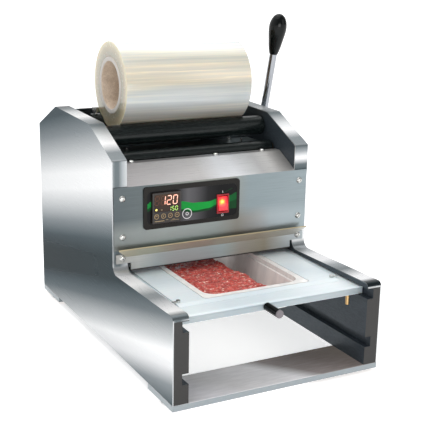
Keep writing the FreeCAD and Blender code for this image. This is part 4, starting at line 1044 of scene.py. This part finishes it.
class SEALER_OT_control_face(bpy.types.Operator):
    """Printed overlay, displays, key rings and switch marks"""
    bl_idname = "sealer.control_face"
    bl_label = "Control face"

    def execute(self, context):
        p = context.scene.sealer_control
        plate_low, plate_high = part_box("control_plate")
        field_y = plate_low.y + 0.4 * MM
        black = finish("overlay", overlay_black)
        x0, x1 = plate_low.x + 5.9 * MM, plate_high.x - 4.9 * MM
        z0, z1 = plate_low.z + 6.8 * MM, plate_high.z - 7.3 * MM
        ink = p.ink
        layer = field_y - ink
        body_low, body_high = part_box("controller_body")
        rock_low, rock_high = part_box("rocker_frame")
        outline = rounded_outline(x0, x1, z0, z1, 7.6 * MM)
        bm = bmesh.new()
        loops = [outline,
                 [(body_low.x - 0.2 * MM, body_low.z - 0.2 * MM),
                  (body_high.x + 0.2 * MM, body_low.z - 0.2 * MM),
                  (body_high.x + 0.2 * MM, body_high.z + 0.2 * MM),
                  (body_low.x - 0.2 * MM, body_high.z + 0.2 * MM)],
                 [(rock_low.x - 0.2 * MM, rock_low.z - 0.2 * MM),
                  (rock_high.x + 0.2 * MM, rock_low.z - 0.2 * MM),
                  (rock_high.x + 0.2 * MM, rock_high.z + 0.2 * MM),
                  (rock_low.x - 0.2 * MM, rock_high.z + 0.2 * MM)]]
        edges = []
        for loop in loops:
            vs = [bm.verts.new((x, layer, z)) for x, z in loop]
            edges += [bm.edges.new((vs[i], vs[(i + 1) % len(vs)])) for i in range(len(vs))]
        bmesh.ops.triangle_fill(bm, use_beauty=True, edges=edges, normal=(0, -1, 0))
        grown = bmesh.ops.extrude_face_region(bm, geom=bm.faces[:])
        bmesh.ops.translate(bm, vec=(0, ink * 0.9, 0),
                            verts=[g for g in grown["geom"] if isinstance(g, bmesh.types.BMVert)])
        bmesh.ops.recalc_face_normals(bm, faces=bm.faces)
        mesh = bpy.data.meshes.new("overlay")
        bm.to_mesh(mesh)
        bm.free()
        mesh.materials.append(black)
        overlay = bpy.data.objects.new("control_overlay", mesh)
        context.scene.collection.objects.link(overlay)
        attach(overlay, "frame")

        def rows(points):
            return [(MID_X + x * MM, BASE_Z + a * MM, BASE_Z + b * MM) for x, a, b in points]

        green = finish("green", swoosh_green)
        dark = finish("dark_green", lambda: printed("ink_dark_green_printed", "05401c"))
        ctrl_l, ctrl_r = (body_low.x - MID_X) / MM - 0.4, (body_high.x - MID_X) / MM + 0.4
        rock_l, rock_r = (rock_low.x - MID_X) / MM - 0.4, (rock_high.x - MID_X) / MM + 0.4
        left_end, right_end = (x0 - MID_X) / MM + 0.3, (x1 - MID_X) / MM - 0.3

        def curve(knots, a, b, n=14):
            """Smooth rows (x, low, high) through knots, between x = a and x = b."""
            out = []
            for i in range(n + 1):
                x = a + (b - a) * i / n
                j = max(1, min(len(knots) - 2, sum(k[0] <= x for k in knots) - 1))
                k0, k1 = knots[j], knots[j + 1] if j + 1 < len(knots) else knots[j]
                if x < k0[0]:
                    k0, k1 = knots[j - 1], knots[j]
                t = 0 if k1[0] == k0[0] else (x - k0[0]) / (k1[0] - k0[0])
                t = t * t * (3 - 2 * t)
                out.append((x, k0[1] + (k1[1] - k0[1]) * t, k0[2] + (k1[2] - k0[2]) * t))
            return out

        band = [(-118, 217.5, 225.0), (-107, 222.0, 230.2), (-84, 220, 230), (-59, 212.5, 225.0),
                (-35, 208.0, 220.4), (-11, 209.5, 220.0), (4, 214.5, 223.2), (25, 216, 226),
                (40, 219, 231)]
        shade = [(-118, 213.5, 217.5), (-107, 217.0, 222.0), (-84, 214, 220), (-59, 209.0, 212.5),
                 (-35, 204.8, 208.0), (-11, 206.0, 209.5), (4, 212.4, 214.5), (25, 204.6, 216),
                 (40, 204.3, 219)]
        for name, knots, mat in (("swoosh", band, green), ("swoosh_shade", shade, dark)):
            strips = [flat_strip(rows(curve(knots, a, b)), layer - ink, ink * 0.9)
                      for a, b in ((left_end, ctrl_l), (ctrl_r, rock_l), (rock_r, right_end))]
            v, f = merge(strips)
            piece(name, v, f, mat, "frame")
        ray = [(rock_l + 10, 230.4, 230.9), (30.0, 236.8, 237.5)]
        v, f = flat_strip(rows(ray), layer - ink, ink * 0.9)
        piece("swoosh_ray", v, f, dark, "frame")

        white = finish("white_ink", lambda: printed("ink_white_printed", "e8e8ea"))
        mark_x, mark_z = MID_X - 48.4 * MM, BASE_Z + 204.6 * MM
        top = layer - 2 * ink
        sx = (rock_low.x + rock_high.x) / 2
        marks = [flat_ring(mark_x, mark_z, 8.2 * MM, 1.0 * MM, top, ink * 0.9),
                 flat_ring(mark_x, mark_z, 2.6 * MM, 0.9 * MM, top, ink * 0.9, 24),
                 flat_ring(sx, rock_low.z - 3.4 * MM, 1.9 * MM, 0.6 * MM, top, ink * 0.9, 24),
                 polygon_plate([(sx - 0.35 * MM, rock_high.z + 1.9 * MM),
                                (sx + 0.35 * MM, rock_high.z + 1.9 * MM),
                                (sx + 0.35 * MM, rock_high.z + 5.1 * MM),
                                (sx - 0.35 * MM, rock_high.z + 5.1 * MM)], top, ink * 0.9)]
        v, f = merge(marks)
        piece("overlay_marks", v, f, white, "frame")

        # the controller's smoked window, its digits and lamps
        cx, cz = (body_low.x + body_high.x) / 2, (body_low.z + body_high.z) / 2
        face = body_low.y
        glass = finish("window", lambda: moulded("acrylic_smoked_brown", "2c1d14", 0.16, 2.0, 0.0,
                                                 0.005, "45301f", 0.25))
        v, f = polygon_plate([(cx - 20.8 * MM, cz - 5.8 * MM), (cx + 20.8 * MM, cz - 5.8 * MM),
                              (cx + 20.8 * MM, cz + 21.3 * MM), (cx - 20.8 * MM, cz + 21.3 * MM)],
                             face + 0.1 * MM, 0.45 * MM)
        piece("controller_window", v, f, glass, "frame")
        power = 1.0 if p.lit else 0.0
        looks = {
            "ghost": finish("ghost", lambda: printed("display_unlit", "5a3a2c")),
            "halo": finish("halo", lambda: glowing("display_red_halo", "c83a28", 0.8 * power)),
            "hot": finish("hot", lambda: glowing("display_red_lit", "ffc8a4", 1.0 * power)),
            "green": finish("lime", lambda: glowing("display_green_lit", "8fcc10", 0.8 * power)),
            "lamp": finish("lamp", lambda: glowing("lamp_amber_lit", "ffe75a", 1.0 * power)),
        }
        step = 0.04 * MM
        y_of = {"ghost": face + 0.05 * MM, "halo": face + 0.0 * MM, "hot": face - step,
                "green": face, "lamp": face}
        groups = {k: [] for k in looks}
        h = p.upper_height
        slots = [cx + d * MM for d in (-16.6, -6.5, 3.4, 13.6)]
        zu = cz + 11.8 * MM
        text = p.upper.rjust(4)[:4]
        for x, char in zip(slots, text):
            groups["ghost"] += digit("8", x, zu, h * 0.42, h * 0.86, 1.5 * MM, y_of["ghost"],
                                     step / 2)
            if char in DIGITS:
                groups["halo"] += digit(char, x, zu, h * 0.42, h * 0.86, 1.55 * MM, y_of["halo"],
                                        step / 2)
                groups["hot"] += digit(char, x, zu, h * 0.42, h * 0.86, 0.7 * MM, y_of["hot"],
                                       step / 2)
        h = p.lower_height
        for k, char in enumerate(p.lower[:3]):
            if char in DIGITS:
                groups["green"] += digit(char, cx + (4.6 + 5.6 * k) * MM, cz - 1.9 * MM, h * 0.44,
                                         h * 0.86, 0.95 * MM, y_of["green"], step / 2)
        groups["lamp"].append(polygon_plate(rounded_outline(
            cx - 19.3 * MM, cx - 16.3 * MM, cz - 3.4 * MM, cz - 0.6 * MM, 1.2 * MM),
            face, step / 2))
        tan = finish("tan", lambda: printed("ink_tan_printed", "b39c76"))
        for name, parts in groups.items():
            v, f = merge(parts)
            piece("display_" + name, v, f, looks[name], "frame")
        lines = [polygon_plate([(cx + a * MM, cz + b * MM), (cx + c * MM, cz + b * MM),
                                (cx + c * MM, cz + (b + t) * MM), (cx + a * MM, cz + (b + t) * MM)],
                               body_low.y - 0.05 * MM, 0.04 * MM)
                 for a, b, c, t in ((-20.5, -20.3, -4.5, 0.9), (-2.0, -18.9, 2.0, 0.5),
                                    (9.0, -18.9, 13.0, 0.5), (6.0, -20.3, 20.0, 0.4),
                                    (-10.5, -3.0, -7.5, 0.8))]
        v, f = merge(lines)
        piece("controller_lines", v, f, tan, "frame")
        arrows = {1: [(-1.5, 0.3), (0.0, 1.5), (1.5, 0.3)],
                  2: [(0.6, -1.4), (-1.0, 0.0), (0.6, 1.4)],
                  3: [(-1.5, 0.9), (0.0, -0.7), (1.5, 0.9)],
                  4: [(-1.5, -0.7), (0.0, 0.9), (1.5, -0.7)]}
        for k, knots in arrows.items():
            name = "controller_key_%d" % k
            low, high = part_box(name)
            kx, kz, r = (low.x + high.x) / 2, (low.z + high.z) / 2, (high.x - low.x) / 2
            y = low.y - 0.04 * MM
            parts = [flat_ring(kx, kz, r - 0.25 * MM, 0.75 * MM, y, 0.05 * MM, 32)]
            for (ax, az), (bx, bz) in zip(knots, knots[1:]):
                run = Vector((bx - ax, bz - az)).normalized() * 0.32
                pts = [(ax - run.y, az + run.x), (bx - run.y, bz + run.x),
                       (bx + run.y, bz - run.x), (ax + run.y, az - run.x)]
                parts.append(polygon_plate([(kx + a * MM, kz + b * MM) for a, b in pts],
                                           y, 0.05 * MM))
            v, f = merge(parts)
            piece("key_mark_%d" % k, v, f, tan, "key_%d" % k)
        return {"FINISHED"}


class SEALER_OT_return_springs(bpy.types.Operator):
    """Coil springs that lift the sealing head"""
    bl_idname = "sealer.return_springs"
    bl_label = "Return springs"

    def execute(self, context):
        p = context.scene.sealer_spring
        low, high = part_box("return_springs")
        r = 9.6 * MM
        spots = [(x, y) for x in (low.x + r + MM, high.x - r - MM)
                 for y in (low.y + r + MM, high.y - r - MM)]
        wire, sides = p.wire / 2, 10
        steps = int(p.turns * 28)
        parts = []
        for cx, cy in spots:
            verts, faces = [], []
            for k in range(steps + 1):
                a = 2 * math.pi * p.turns * k / steps
                z = low.z + wire + (high.z - low.z - 2 * wire) * k / steps
                out = Vector((math.cos(a), math.sin(a), 0))
                at = Vector((cx, cy, z)) + out * r
                verts += [at + (out * math.cos(b) + Z * math.sin(b)) * wire
                          for b in (2 * math.pi * s / sides for s in range(sides))]
            for k in range(steps):
                a, b = k * sides, (k + 1) * sides
                faces += [(a + s, a + (s + 1) % sides, b + (s + 1) % sides, b + s)
                          for s in range(sides)]
            faces += [tuple(range(sides))[::-1], tuple(range(steps * sides, (steps + 1) * sides))]
            parts.append((verts, faces))
        v, f = merge(parts)
        coil = piece("coil_springs", v, f, finish("spring_steel", FINISHES["spring_steel"]),
                     "frame", True)
        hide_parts("return_springs")
        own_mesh(coil)
        return {"FINISHED"}


class SEALER_PT_panel(bpy.types.Panel):
    bl_label = "Tray sealer"
    bl_idname = "SEALER_PT_panel"
    bl_space_type = "VIEW_3D"
    bl_region_type = "UI"
    bl_category = "Tray Sealer"

    def draw(self, context):
        for cls in OPERATORS:
            self.layout.operator(cls.bl_idname)
        for name in GROUPS:
            group = getattr(context.scene, name)
            for key in group.bl_rna.properties.keys():
                if key not in ("rna_type", "name"):
                    self.layout.prop(group, key)


OPERATORS = (SEALER_OT_stage, SEALER_OT_frame_finishes, SEALER_OT_film_roll,
             SEALER_OT_minced_meat, SEALER_OT_control_face, SEALER_OT_return_springs)
GROUPS = {"sealer_stage": StageSizes, "sealer_film": FilmSizes, "sealer_meat": MeatSizes,
          "sealer_control": ControlSizes, "sealer_spring": SpringSizes}


def register():
    for cls in (*GROUPS.values(), *OPERATORS, SEALER_PT_panel):
        bpy.utils.register_class(cls)
    for name, cls in GROUPS.items():
        setattr(bpy.types.Scene, name, PointerProperty(type=cls))


def unregister():
    for name in GROUPS:
        delattr(bpy.types.Scene, name)
    for cls in (SEALER_PT_panel, *OPERATORS[::-1], *GROUPS.values()):
        bpy.utils.unregister_class(cls)


def main():
    register()
    for cls in OPERATORS:
        group, name = cls.bl_idname.split(".")
        getattr(getattr(bpy.ops, group), name)()


if __name__ == "__main__":
    main()
